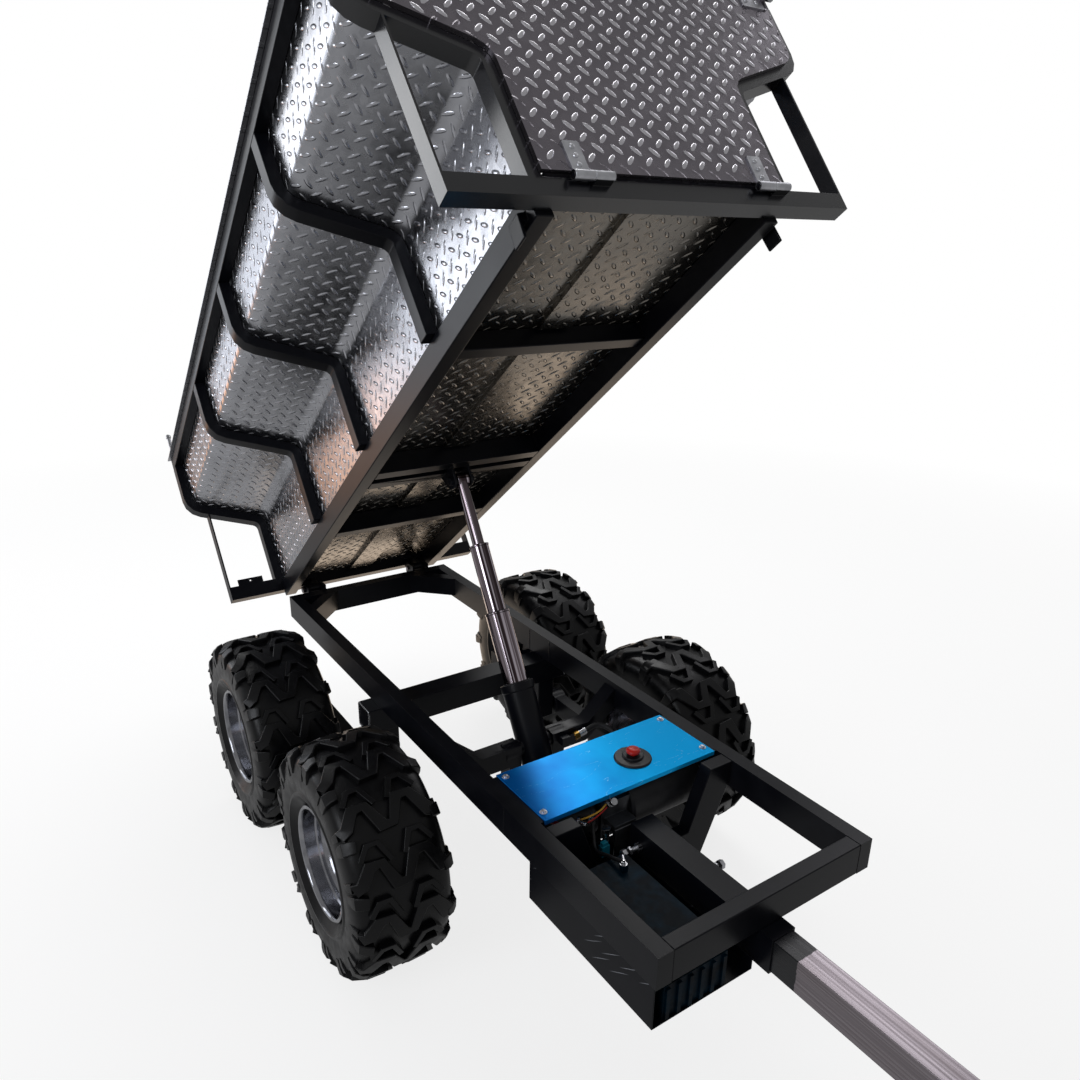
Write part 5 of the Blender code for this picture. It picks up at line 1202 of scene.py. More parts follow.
@dataclass
class Tyre:
    """A low-pressure off-road tyre with zig-zag bars across its crown and lugs over its shoulders."""

    radius: float = 0.314
    width: float = 0.266
    tread: float = 0.018
    bead: float = 0.1492
    pitches: int = 14
    steps: int = 96

    def profile(self) -> list[Point]:
        """The carcass outline on one side, from the crown to the bead, as (radius, height)."""
        base, half = self.radius - self.tread, self.width / 2
        return [
            (base, 0.0), (base, 0.030), (base - 0.0005, 0.058), (base - 0.002, 0.084), (base - 0.006, 0.104),
            (base - 0.014, 0.118), (base - 0.027, half - 0.007), (base - 0.050, half - 0.002),
            (base - 0.078, half - 0.001), (base - 0.100, half - 0.004), (base - 0.104, half - 0.0015),
            (base - 0.109, half - 0.0015), (base - 0.114, half - 0.006), (base - 0.128, half - 0.014),
            (base - 0.136, half - 0.021), (self.bead, 0.1065), (self.bead, 0.094),
        ]

    def runs(self) -> list[float]:
        """Running length along the profile."""
        knots = self.profile()
        total = [0.0]
        for near, far in zip(knots, knots[1:]):
            total.append(total[-1] + math.dist(near, far))
        return total

    def at(self, run: float, angle: float, height: float) -> Vector:
        """A point over the carcass.

        Args:
            run: length across the crown from its middle, signed.
            angle: angle about the axle.
            height: height over the carcass.

        Returns:
            The place, with the axle along z.
        """
        knots, total = self.profile(), self.runs()
        side = 1 if run >= 0 else -1
        far = min(abs(run), total[-1] - TINY)
        index = max(i for i in range(len(total) - 1) if total[i] <= far)
        near, ahead = Vector(knots[index]), Vector(knots[index + 1])
        share = (far - total[index]) / (total[index + 1] - total[index])
        point = near.lerp(ahead, share)
        along = (ahead - near).normalized()
        before = (near - Vector(knots[index - 1])).normalized() if index else Vector((0, 1))
        along = before.lerp(along, 0.5 + share / 2).normalized()
        point = point + Vector((along.y, -along.x)) * height
        radius, out = min(point.x, self.radius), min(point.y, self.width / 2)
        return Vector((radius * math.cos(angle), radius * math.sin(angle), side * out))

    def bar(
        self,
        sketch: Sketch,
        path: Sequence[Point],
        widths: Sequence[float],
        heights: Sequence[float],
        turn: float,
    ) -> None:
        """One raised bar along a path of (run, distance round the tyre).

        Args:
            sketch: what the bar is added to.
            path: points along the middle of the bar.
            widths: its width at each of them.
            heights: its height at each of them.
            turn: angle about the axle.
        """
        rings = []
        base = self.radius - self.tread
        # Place across the bar and height, as shares; its feet lie 3 mm under the carcass
        shape = ((-0.5, -0.003), (-0.44, 0.90), (-0.38, 1.0), (0.38, 1.0), (0.44, 0.90), (0.5, -0.003))
        for index in range(len(path)):
            near = Vector(path[max(index - 1, 0)])
            far = Vector(path[min(index + 1, len(path) - 1)])
            ahead = (far - near).normalized()
            across = Vector((-ahead.y, ahead.x))
            if 0 < index < len(path) - 1:
                first = (Vector(path[index]) - near).normalized()
                lean = max(abs(Vector((-first.y, first.x)).dot(across)), 0.6)
            else:
                lean = 1.0
            ring = []
            for share, level in shape:
                place = Vector(path[index]) + across * (widths[index] * share / lean)
                height = level if level < 0 else heights[index] * level
                ring.append(self.at(place.x, turn + place.y / base, height))
            rings.append(ring)
        sketch.loft(rings)

    def carcass(self) -> Sketch:
        """The smooth carcass under the lugs, open at the beads like a real tyre."""
        sketch = Sketch()
        outer = [(r, -h) for r, h in reversed(self.profile()[1:])] + self.profile()
        inner = [(0.205, 0.119), (0.238, 0.118), (0.266, 0.102), (0.282, 0.078), (0.284, 0.0)]
        loop = outer + inner + [(r, -h) for r, h in reversed(inner[:-1])]
        sketch.turned(loop, Matrix.Identity(4), self.steps, looped=True)
        return sketch

    def lugs(self) -> Sketch:
        """Zig-zag bars and the shoulder lugs between them."""
        sketch = Sketch()
        zigzag = [
            (-0.120, -0.034), (-0.096, -0.030), (-0.062, 0.026), (-0.030, 0.026), (-0.004, -0.030),
            (0.024, -0.030), (0.052, 0.026), (0.082, 0.026), (0.104, -0.012), (0.122, -0.020),
        ]
        widths = [0.036, 0.032, 0.028, 0.026, 0.027, 0.027, 0.026, 0.028, 0.032, 0.036]
        heights = [0.0150, 0.0172, 0.0178, 0.0178, 0.0178, 0.0178, 0.0178, 0.0178, 0.0172, 0.0150]
        inner = [(-0.084, 0.040), (-0.060, 0.074), (-0.032, 0.074), (-0.010, 0.028)]
        other = [(0.026, 0.026), (0.050, 0.072), (0.078, 0.072), (0.098, 0.040)]
        slim, low = [0.015] * 4, [0.0165] * 4
        shoulder = [(0.098, 0.0), (0.110, 0.002), (0.124, 0.003), (0.138, 0.003), (0.160, 0.002)]
        thick = [0.030, 0.036, 0.038, 0.034, 0.024]
        proud = [0.0172, 0.0172, 0.015, 0.0115, 0.0055]
        for index in range(self.pitches):
            turn = 2 * math.pi * index / self.pitches
            self.bar(sketch, zigzag, widths, heights, turn)
            self.bar(sketch, inner, slim, low, turn)
            self.bar(sketch, other, slim, low, turn)
            for side in (-1, 1):
                half_turn = turn + math.pi / self.pitches + (0.10 if side < 0 else 0.04)
                self.bar(sketch, [(side * run, way) for run, way in shoulder], thick, proud, half_turn)
                ridge = [(side * 0.130, 0.0), (side * 0.148, 0.0), (side * 0.166, 0.0)]
                self.bar(sketch, ridge, [0.028, 0.024, 0.016], [0.008, 0.006, 0.003], turn - 0.05)
        return sketch

    def build(self, finishes: Finishes, name: str, centre: Vector, side: Side) -> None:
        """Makes one tyre on its wheel."""
        place = axis_frame(centre, (0, side.value, 0))
        carcass = self.carcass().make(f"tyre_carcass_{name}", finishes["rubber"])
        carcass.data.transform(place)
        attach(carcass, f"wheel_group_{name}")
        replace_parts(carcass, f"tyre_{name}")
        lugs = self.lugs().make(f"tyre_lugs_{name}", finishes["rubber"])
        lugs.data.transform(place)
        soften(lugs, 1.1, 30.0)
        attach(lugs, f"wheel_group_{name}")


@dataclass
class Wheel:
    """A pressed steel wheel: stepped deep dish, bolted centre and hub."""

    rim: float = 0.156
    well: float = 0.124
    half: float = 0.120
    nut_circle: float = 0.055
    nut_count: int = 4
    disc_face: float = 0.0165
    steps: int = 96

    def dish(self) -> list[Point]:
        """Outline of the rim and disc as a closed loop of (radius, height)."""
        half, rim, well = self.half, self.rim, self.well
        return [
            (0.040, self.disc_face), (0.070, 0.0168), (0.088, 0.0185), (0.095, 0.024), (0.108, 0.029),
            (well - 0.006, 0.040), (well - 0.004, 0.0425), (well + 0.001, 0.047), (well + 0.003, 0.052),
            (well + 0.009, 0.057), (well + 0.012, 0.064), (well + 0.013, 0.074), (well + 0.0175, 0.078),
            (rim - 0.0135, 0.084), (rim - 0.0125, half - 0.016), (rim - 0.0122, half - 0.006),
            (rim - 0.0095, half - 0.0015), (rim - 0.004, half), (rim - 0.0005, half - 0.0015),
            (rim, half - 0.0045), (rim - 0.0035, half - 0.010), (rim - 0.0078, half - 0.013),
            (rim - 0.0078, half - 0.030), (well + 0.003, 0.045), (well, 0.040), (well, -0.056),
            (rim - 0.0078, -half + 0.030), (rim - 0.0078, -half + 0.013), (rim, -half + 0.004),
            (rim - 0.003, -half + 0.0005), (rim - 0.012, -half + 0.003), (rim - 0.0145, -half + 0.026),
            (well - 0.005, -0.056), (well - 0.006, 0.010), (well - 0.010, 0.020), (0.100, 0.014),
            (0.040, 0.0115),
        ]

    def hub(self) -> Sketch:
        """The dark hub with its cap."""
        sketch = Sketch()
        body = [
            (0.0, 0.0497), (0.020, 0.0497), (0.028, 0.0488), (0.032, 0.0465), (0.0345, 0.041),
            (0.0355, 0.0172), (0.043, 0.0170), (0.0435, 0.0100), (0.0435, -0.0550), (0.041, -0.0575),
            (0.019, -0.0575), (0.019, 0.030),
        ]
        sketch.turned(body, Matrix.Identity(4), 48)
        return sketch

    def nuts(self) -> Sketch:
        """Plated wheel nuts with their washers and stud ends."""
        sketch = Sketch()
        for index in range(self.nut_count):
            angle = math.pi / 4 + 2 * math.pi / self.nut_count * index
            across, up = self.nut_circle * math.cos(angle), self.nut_circle * math.sin(angle)
            place = Matrix.Translation((across, up, self.disc_face))
            sketch.turned([(0.0, 0.0), (0.0115, 0.0), (0.0115, 0.0022), (0.0, 0.0022)], place, 24)
            sketch.prism(hexagon(0.019, angle), place, 0.0018, 0.0125)
            sketch.turned([(0.0, 0.019), (0.0048, 0.019), (0.0058, 0.018), (0.0058, 0.010)], place, 16)
        return sketch

    def build(self, finishes: Finishes, name: str, centre: Vector, side: Side) -> None:
        """Makes one wheel and rides it on its hub."""
        place = axis_frame(centre, (0, side.value, 0))
        rim = Sketch()
        rim.turned(self.dish(), Matrix.Identity(4), self.steps, looped=True)
        dish = rim.make(f"wheel_rim_{name}", finishes["rim"])
        dish.data.transform(place)
        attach(dish, f"wheel_group_{name}")
        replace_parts(dish, f"wheel_{name}")
        hub = self.hub().make(f"wheel_hub_{name}", finishes["enamel"])
        hub.data.transform(place)
        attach(hub, f"wheel_group_{name}")
        nuts = self.nuts().make(f"wheel_nuts_{name}", finishes["zinc"])
        nuts.data.transform(place)
        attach(nuts, f"wheel_group_{name}")


@dataclass
class RunningGear:
    """The four wheels on their walking beams."""

    wheel_y: float = 0.535
    front_x: float = -0.0425
    rear_x: float = -0.7765
    axle_z: float = 0.314

    def build(self, finishes: Finishes) -> None:
        """Makes the wheels and tyres."""
        for side in Side:
            for place, x in (("front", self.front_x), ("rear", self.rear_x)):
                centre = Vector((x, side.value * self.wheel_y, self.axle_z))
                name = f"{place}_{side.label}"
                Tyre().build(finishes, name, centre, side)
                Wheel().build(finishes, name, centre, side)
                LOG.info("wheel %s", name)


@dataclass(frozen=True)
class Cable:
    """One fixed cable or hose inside the machine, smooth through its chassis points."""

    name: str
    finish: str
    radius: float
    route: tuple[Place, ...]
    steps: int = 8
    sides: int = 12

    def path(self) -> list[Vector]:
        """The route in the scene as a smooth curve (Catmull-Rom) with some steps to each span."""
        points = [SIZES.chassis_place(*point) for point in self.route]
        padded = [points[0] * 2 - points[1], *points, points[-1] * 2 - points[-2]]
        path = []
        for p0, p1, p2, p3 in zip(padded, padded[1:], padded[2:], padded[3:]):
            square, cube = 2 * p0 - 5 * p1 + 4 * p2 - p3, 3 * p1 - p0 - 3 * p2 + p3
            for step in range(self.steps):
                t = step / self.steps
                swing = (p2 - p0) * t + square * t * t + cube * t ** 3
                path.append(0.5 * (2 * p1 + swing))
        return [*path, points[-1]]

    def build(self, finishes: Finishes) -> bpy.types.Object:
        """Draws the cable and rides it on the chassis."""
        path = self.path()
        sketch = Sketch()
        sketch.tube(path, [self.radius] * len(path), self.sides)
        item = sketch.make(self.name, finishes[self.finish])
        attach(item, "chassis")
        return item


HOSE = Cable(
    "pressure_hose", "hose", 0.008,
    (
        (1.191, 0.1265, -0.125), (1.191, 0.1665, -0.118), (1.197, 0.2065, -0.109), (1.231, 0.2325, -0.119),
        (1.269, 0.2325, -0.145), (1.309, 0.2285, -0.162), (1.350, 0.1955, -0.165), (1.385, 0.1205, -0.150),
        (1.402, 0.0405, -0.125), (1.419, -0.0155, -0.105), (1.4425, -0.035, -0.100), (1.4545, -0.035, -0.100),
    ),
)
CABLES = (
    Cable(
        "positive_cable", "black_wire", 0.0052,
        (
            (1.588, -0.150, -0.052), (1.612, -0.166, -0.052), (1.632, -0.196, -0.066),
            (1.668, -0.240, -0.084), (1.716, -0.262, -0.078), (1.752, -0.2595, -0.0745),
        ),
    ),
    Cable(
        "negative_cable", "black_wire", 0.0048,
        (
            (1.600, -0.120, -0.060), (1.622, -0.132, -0.088), (1.656, -0.150, -0.104),
            (1.704, -0.150, -0.088), (1.752, -0.1455, -0.0745),
        ),
    ),
    Cable(
        "drooping_lead", "black_wire", 0.0032,
        ((1.63, -0.262, -0.050), (1.69, -0.2755, -0.066), (1.77, -0.274, -0.086), (1.86, -0.268, -0.0905)),
    ),
    Cable(
        "red_lead", "red_wire", 0.0050,
        ((1.575, -0.228, -0.040), (1.600, -0.214, -0.040), (1.613, -0.190, -0.046), (1.600, -0.168, -0.052)),
    ),
    Cable(
        "yellow_lead", "yellow_wire", 0.0022,
        ((1.600, -0.168, -0.048), (1.612, -0.140, -0.040), (1.614, -0.108, -0.034), (1.606, -0.084, -0.030)),
    ),
    Cable(
        "red_signal_lead", "red_wire", 0.0018,
        ((1.604, -0.176, -0.058), (1.618, -0.146, -0.050), (1.617, -0.112, -0.042), (1.610, -0.084, -0.036)),
    ),
)


@dataclass
class Fittings:
    """Screws of the cover and of the drawbar's clamp, and the hydraulic hose with its ends."""

    cover_rear: float = 1.395
    cover_length: float = 0.220
    cover_half: float = 0.2705
    bolt_inset: float = 0.021
    receiver_half: float = 0.0343
    screw_x: tuple[float, float] = (1.684, 1.840)
    drawbar_z: float = -0.1246
    thread_pitch: float = 0.0019
    crimp_pitch: float = 0.0052

    def cover_bolts(self, finishes: Finishes) -> None:
        """Four plated screws with washers at the corners of the blue cover."""
        sketch = Sketch()
        front = self.cover_rear + self.cover_length
        for x in (self.cover_rear + self.bolt_inset, front - self.bolt_inset - 0.009):
            for side in Side:
                y = side.value * (self.cover_half - 0.0155)
                place = Matrix.Translation(SIZES.chassis_place(x, y, 0.003))
                washer = [(0.0, 0.0), (0.0095, 0.0), (0.0095, 0.0012), (0.009, 0.0016), (0.0, 0.0016)]
                sketch.turned(washer, place, 28)
                sketch.prism(hexagon(0.0104, 0.3 * side.value), place, 0.001, 0.0056)
                sketch.turned([(0.0, 0.0070), (0.0035, 0.0068), (0.0058, 0.0052)], place, 18)
        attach(sketch.make("cover_screws", finishes["hinge"]), "chassis")

    def clamp_screws(self, finishes: Finishes) -> None:
        """The two plated screws that lock the drawbar in its receiver."""
        sketch = Sketch()
        threads = [(0.0, 0.0)]
        for turn in range(19):
            low = 0.011 + turn * self.thread_pitch
            threads += [(0.0060, low), (0.0068, low + self.thread_pitch / 2)]
        for side, x in zip((-1, 1), self.screw_x):
            face = SIZES.chassis_place(x, side * self.receiver_half, self.drawbar_z)
            place = axis_frame(face, (0, side, 0))
            sketch.prism(hexagon(0.0196, 0.2), place, 0.0, 0.0114)
            sketch.turned([(0.0, 0.0116), (0.0085, 0.0116), (0.0095, 0.0108)], place, 24)
            sketch.turned(threads, place, 18)
            sketch.prism(hexagon(0.0196, 0.9), place, 0.0300, 0.0370)
            sketch.prism(hexagon(0.0205, 0.5), place, 0.0455, 0.0560)
            sketch.turned([(0.0, 0.0572), (0.0080, 0.0570), (0.0098, 0.0556)], place, 24)
        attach(sketch.make("clamp_screws", finishes["hinge"], 0.3), "chassis")

    def hose(self, finishes: Finishes) -> None:
        """The hydraulic hose with a brass nut and a crimped ferrule on both ends."""
        brass, ferrules = Sketch(), Sketch()
        crimp = [(0.0085, 0.0130)]
        for turn in range(5):
            low = 0.0135 + turn * self.crimp_pitch
            crimp += [(0.0112, low), (0.0112, low + 0.0034), (0.0102, low + 0.0043)]
        crimp.append((0.0085, 0.0400))
        for end, ahead in ((HOSE.route[0], (0.0, 1.0, 0.175)), (HOSE.route[-1], (-1.0, 0.0, 0.0))):
            place = axis_frame(SIZES.chassis_place(*end), ahead)
            brass.prism(hexagon(0.0235), place, -0.002, 0.0135)
            brass.turned([(0.0, -0.0045), (0.0105, -0.0040), (0.0105, -0.0015)], place, 24)
            ferrules.turned(crimp, place, 28)
        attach(brass.make("hose_nuts", finishes["brass"], 0.4), "chassis")
        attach(ferrules.make("hose_ferrules", finishes["zinc"]), "chassis")
        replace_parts(HOSE.build(finishes), "hydraulic_hose")

    def build(self, finishes: Finishes) -> None:
        """Makes the fittings."""
        self.cover_bolts(finishes)
        self.clamp_screws(finishes)
        self.hose(finishes)
        LOG.info("screws and hose")


@dataclass
class Wiring:
    """Cables, terminals and small parts about the pump motor and the battery."""

    lugs: tuple[tuple[Place, float], ...] = (
        ((1.604, -0.166, -0.050), 0.4), ((1.600, -0.122, -0.056), -0.9),
        ((1.755, -0.2595, -0.0787), 2.9), ((1.755, -0.1455, -0.0787), 2.6),
    )
    nuts: tuple[Place, ...] = (
        (1.604, -0.166, -0.0485), (1.600, -0.122, -0.0545),
        (1.755, -0.2595, -0.077), (1.755, -0.1455, -0.077),
    )
    studs: tuple[Place, ...] = ((1.604, -0.166, -0.0700), (1.600, -0.122, -0.0760))
    lug_hole: float = 0.0042
    lug_radius: float = 0.0088
    motor_x: float = 1.530
    motor_radius: float = 0.0560
    band_y: tuple[float, float] = (-0.098, -0.232)
    bracket_y: tuple[float, float] = (-0.1930, -0.0720)

    def lug(self, sketch: Sketch, place: Matrix) -> None:
        """A flat ring terminal with its rolled barrel, lying in the xy plane of place."""
        hole, radius = self.lug_hole, self.lug_radius
        ring = [(hole, 0.0), (radius, 0.0), (radius, 0.0018), (hole, 0.0018), (hole, 0.0)]
        sketch.turned(ring, place, 24)
        barrel = [(0.0, 0.0), (0.0044, 0.0), (0.005, 0.0015), (0.005, 0.015), (0.0044, 0.0165), (0.0, 0.0165)]
        sketch.turned(barrel, place @ axis_frame((radius - 0.001, 0, 0.0022), (1, 0, 0.12)), 16)

    def terminals(self, finishes: Finishes) -> None:
        """Ring terminals with their nuts, on the motor's studs and on the battery."""
        metal = Sketch()
        for place, turn in self.lugs:
            self.lug(metal, Matrix.Translation(SIZES.chassis_place(*place)) @ Matrix.Rotation(turn, 4, "Z"))
        for place in self.nuts:
            nut = Matrix.Translation(SIZES.chassis_place(*place))
            metal.prism(hexagon(0.0100), nut, 0.0, 0.0052)
            metal.turned([(0.0, 0.0105), (0.0028, 0.0105), (0.0034, 0.0098), (0.0034, 0.004)], nut, 16)
        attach(metal.make("cable_terminals", finishes["zinc"], 0.2), "chassis")
        studs = Sketch()
        collar = [
            (0.0, 0.0), (0.0085, 0.0), (0.0095, 0.001), (0.0095, 0.0145), (0.0070, 0.0165), (0.0, 0.0165)
        ]
        foot = [(-0.022, -0.006), (0.004, -0.006), (0.004, 0.006), (-0.022, 0.006)]
        for stud in self.studs:
            place = Matrix.Translation(SIZES.chassis_place(*stud))
            studs.turned(collar, place, 24)
            studs.prism(foot, place, 0.002, 0.010)
        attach(studs.make("terminal_studs", finishes["panel"], 0.4), "chassis")

    def pump_fittings(self, finishes: Finishes) -> None:
        """The plated port and the upright pipe on the pump, and the two connector blocks."""
        port = Sketch()
        place = axis_frame(SIZES.chassis_place(1.588, -0.060, -0.046), (0.75, -0.1, 0.62))
        port.prism(hexagon(0.0210, 0.3), place, 0.0, 0.0125)
        neck = [
            (0.0, 0.012), (0.0085, 0.012), (0.0085, 0.021), (0.0100, 0.022), (0.0100, 0.031),
            (0.0088, 0.0325), (0.0, 0.0325),
        ]
        port.turned(neck, place, 28)
        upright = Matrix.Translation(SIZES.chassis_place(1.6215, -0.092, -0.150))
        pipe = [(0.0, 0.0), (0.0075, 0.0), (0.0085, 0.001), (0.0085, 0.0560), (0.0065, 0.0580), (0.0, 0.0580)]
        port.turned(pipe, upright, 28)
        port.prism(hexagon(0.0200, 0.1), upright, 0.0540, 0.0640)
        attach(port.make("pump_fittings", finishes["zinc"], 0.4), "chassis")
        blocks = Sketch()
        for y, half in ((-0.108, 0.012), (-0.190, 0.010)):
            place = Matrix.Translation(SIZES.chassis_place(1.6350, y, -0.150))
            for depth, reach, low, high in ((0.009, half, 0.0, 0.030), (0.006, half * 0.7, 0.0295, 0.038)):
                outline = [(-depth, -reach), (depth, -reach), (depth, reach), (-depth, reach)]
                blocks.prism(outline, place, low, high)
        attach(blocks.make("connector_blocks", finishes["teal"], 0.8), "chassis")

    def motor_parts(self, finishes: Finishes) -> None:
        """The starter relay's sleeve, the motor's bracket and its two bands."""
        relay = Sketch()
        cap = axis_frame(SIZES.chassis_place(1.550, -0.146, -0.043), (0, -1, 0))
        sleeve = [(0.0, 0.0), (0.0214, 0.0), (0.0214, 0.060), (0.0205, 0.0612), (0.0, 0.0612)]
        relay.turned(sleeve, cap, 40)
        stub = [(0.0, 0.0602), (0.0120, 0.0602), (0.0120, 0.0660), (0.0110, 0.0670), (0.0, 0.0670)]
        relay.turned(stub, cap, 32)
        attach(relay.make("starter_relay_sleeve", finishes["zinc"]), "chassis")
        bracket = Sketch()
        fold = [(1.505, -0.1610), (1.5050, -0.1580), (1.6240, -0.1580), (1.6265, -0.1555), (1.6265, -0.110)]
        fold += [(1.6294, -0.110), (1.6294, -0.2400), (1.6264, -0.2400), (1.6264, -0.1640), (1.6234, -0.1610)]
        frame = SIZES.chassis_frame()
        bracket.loft([[frame @ Vector((x, y, z)) for x, z in fold] for y in self.bracket_y])
        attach(bracket.make("motor_bracket", finishes["enamel"], 0.5), "chassis")
        bands = Sketch()
        inner, outer = self.motor_radius, self.motor_radius + 0.0021
        for y in self.band_y:
            band = axis_frame(SIZES.chassis_place(self.motor_x, y, -0.100), (0, -1, 0))
            bands.turned([(inner, 0.0), (outer, 0.0), (outer, 0.007), (inner, 0.007)], band, 64)
        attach(bands.make("motor_bands", finishes["motor"]), "chassis")

    def build(self, finishes: Finishes) -> None:
        """Makes the cables and what they end on."""
        for cable in CABLES:
            cable.build(finishes)
        self.terminals(finishes)
        self.pump_fittings(finishes)
        self.motor_parts(finishes)
        LOG.info("wiring")


@dataclass
class Welds:
    """Weld beads at the joints of the chassis and of the bed's frame."""

    radius: float = 0.0022
    ripple: float = 0.0022
    corner_x: tuple[float, float] = (2.030, 0.040)
    axle_x: tuple[float, float] = (0.706, 0.826)
    axle_y: float = 0.282
    lean_to_x: float = 1.515
    receiver_front: float = 2.1045
    axle_end_y: float = 0.3603
    axle_corners: tuple[Point, ...] = ((0.728, -0.0825), (0.804, -0.0825), (0.804, -0.1575), (0.728, -0.1575))
    member_end_y: float = 0.272

    def bead(self, sketch: Sketch, start: Vector, end: Vector, radius: float | None = None) -> None:
        """One rippled weld bead between two places, sunk by half into the joint."""
        count = max(6, round((end - start).length / self.ripple))
        path, radii = [], []
        for step in range(count + 1):
            path.append(start.lerp(end, step / count))
            swell = 1.0 + 0.16 * math.cos(math.pi * step) + 0.07 * math.sin(step * 1.7)
            radii.append((radius or self.radius) * swell * (0.55 if step in (0, count) else 1.0))
        sketch.tube(path, radii, 8)

    def chassis_beads(self, finishes: Finishes) -> None:
        """The beads at the corners, at the axle's crossmember and at the receiver's mouth."""
        at = SIZES.chassis_place
        sketch = Sketch()
        for side in (-1, 1):
            inner, axle = side * SIZES.rail_inner, side * self.axle_y
            for x in self.corner_x:
                self.bead(sketch, at(x, inner, -0.078), at(x, inner, -0.001))
            for x in self.axle_x:
                self.bead(sketch, at(x, axle, -0.003), at(x, axle, -0.078))
        x, edge = self.lean_to_x, -SIZES.half_width
        self.bead(sketch, at(x, edge, 0.0), at(x, edge, -0.079), 0.0011)
        x = self.receiver_front
        for y in (-0.0285, 0.0285):
            self.bead(sketch, at(x, y, -0.0845), at(x, y * 0.2, -0.0845), 0.0016)
        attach(sketch.make("chassis_weld_beads", finishes["bead"]), "chassis")

    def axle_beads(self, finishes: Finishes) -> None:
        """Beads round both ends of the axle tube; their bright zinc finish is a painted highlight."""
        at = SIZES.chassis_place
        sketch = Sketch()
        for y in (-self.axle_end_y, self.axle_end_y):
            for near, far in zip(self.axle_corners, self.axle_corners[1:] + self.axle_corners[:1]):
                self.bead(sketch, at(near[0], y, near[1]), at(far[0], y, far[1]), 0.0026)
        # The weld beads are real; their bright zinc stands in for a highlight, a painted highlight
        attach(sketch.make("axle_tube_end_welds", finishes["zinc"]), "chassis")

    def bed_beads(self, finishes: Finishes) -> None:
        """The beads at the ends of the crossmembers under the floor."""
        frame = SIZES.bed_frame()
        sketch = Sketch()
        for station in SIZES.floor_members:
            for edge in (-SIZES.bed_tube / 2, SIZES.bed_tube / 2):
                x = SIZES.bed_front - station + edge
                for y in (-self.member_end_y, self.member_end_y):
                    self.bead(sketch, frame @ Vector((x, y, 0.024)), frame @ Vector((x, y, 0.061)), 0.0020)
        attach(sketch.make("bed_weld_beads", finishes["bead"]), "bed")

    def build(self, finishes: Finishes) -> None:
        """Makes the beads."""
        self.chassis_beads(finishes)
        self.axle_beads(finishes)
        self.bed_beads(finishes)
        LOG.info("weld beads")


@dataclass
class CarriedNodes:
    """The solids that stay as they are, with their finishes and rounded edges."""

    # For each finish, the starts of node names and the radius of their edges in millimetres
    edges: dict[str, dict[str, float]] = field(
        default_factory=lambda: {
            "enamel": {
                "chassis_rail": 2.6, "front_crossmember": 2.6, "rear_crossmember": 1.8,
                "axle_crossmember": 2.6, "trunnion_cradle": 2.2, "vee_crossmember": 2.4,
                "receiver_tube": 1.6, "walking_beam": 2.0, "cylinder_barrel": 1.0, "bed_rail": 2.6,
                "floor_crossmember": 2.4, "cylinder_mount": 1.6, "rear_frame": 1.4, "top_rail": 2.4,
                "rib": 2.4,
            },
            "gloss": {"front_frame": 1.4},
            "steel": {"pivot_pin": 0.8},
            "drawbar": {"drawbar": 3.4},
            "cast": {"ball_coupler": 1.6, "valve_block": 1.6},
            "zinc": {"coupler_handle": 0.8, "front_latch": 0.8, "rear_latch": 0.8},
            "cover": {"cover_plate": 0.8},
            "panel": {"switch_housing": 0.5},
            "button": {"stop_button": 0.8},
            "motor": {"pump_motor": 1.2},
            "tank": {"oil_tank": 1.6},
            "tray": {"battery_tray": 0.8},
            "battery": {"battery": 2.2},
            "chrome": {"cylinder_stage": 0.4, "cylinder_rod": 0.6},
            "floor": {"floor_sheet": 0.6},
            "gate": {"front_gate": 0.5, "rear_gate": 0.5},
        }
    )
    replaced: tuple[str, ...] = ("tyre_", "wheel_", "side_sheet_", "hydraulic_hose")

    def dress(self, nodes: dict[str, bpy.types.Object], finishes: Finishes) -> None:
        """Gives each carried solid its finish and rounds its edges.

        Args:
            nodes: the solids by their names.
            finishes: the materials by their short names.
        """
        looks = {start: (key, radius) for key, row in self.edges.items() for start, radius in row.items()}
        for name, item in nodes.items():
            if name.startswith(self.replaced):
                continue
            finish, radius = looks[max((start for start in looks if name.startswith(start)), key=len)]
            item.data.materials.clear()
            item.data.materials.append(finishes[finish])
            soften(item, radius, imported=True)
        LOG.info("%d solids dressed", len(nodes))


@dataclass(frozen=True)
class Lamp:
    """One soft square lamp that points at a place."""

    name: str
    place: Place
    aim: Place
    size: float
    power: float
    colour: str

    def build(self) -> None:
        """Makes the lamp, unseen by the camera."""
        data = bpy.data.lights.new(self.name, "AREA")
        data.size = self.size
        data.energy = self.power
        data.color = linear(self.colour)[:3]
        item = linked(self.name, data)
        item.matrix_world = axis_frame(self.place, Vector(self.place) - Vector(self.aim))
        item.visible_camera = False


LAMPS = (
    Lamp("roof_light", (-3.0, 1.0, 4.6), (0.0, 0.0, 0.7), 3.6, 190.0, "#ffffff"),
    Lamp("window_light", (1.6, -5.0, 3.4), (0.0, 0.0, 0.9), 2.6, 95.0, "#f4f8ff"),
    Lamp("rear_window", (-5.2, -3.1, 1.9), (-0.2, -0.4, 1.3), 4.0, 62.0, "#eef4ff"),
    Lamp("near_window", (-3.2, -2.25, 2.4), (0.35, -0.5, 2.05), 0.9, 6.0, "#f6f5f2"),
    Lamp("sky_gap", (-4.4, -3.4, 1.35), (0.2, -0.4, 1.3), 1.1, 12.0, "#f6faff"),
    Lamp("left_sky", (-1.0, 4.2, 4.4), (0.6, 0.0, 0.8), 2.0, 22.0, "#fbfaff"),
    Lamp("warm_card", (-4.0, -2.2, 0.25), (-0.2, -0.4, 1.2), 1.0, 5.0, "#ffac62"),
    Lamp("ground_card", (-1.1, 0.7, 0.03), (-0.6, 0.4, 1.5), 2.2, 14.0, "#ffe0bd"),
)
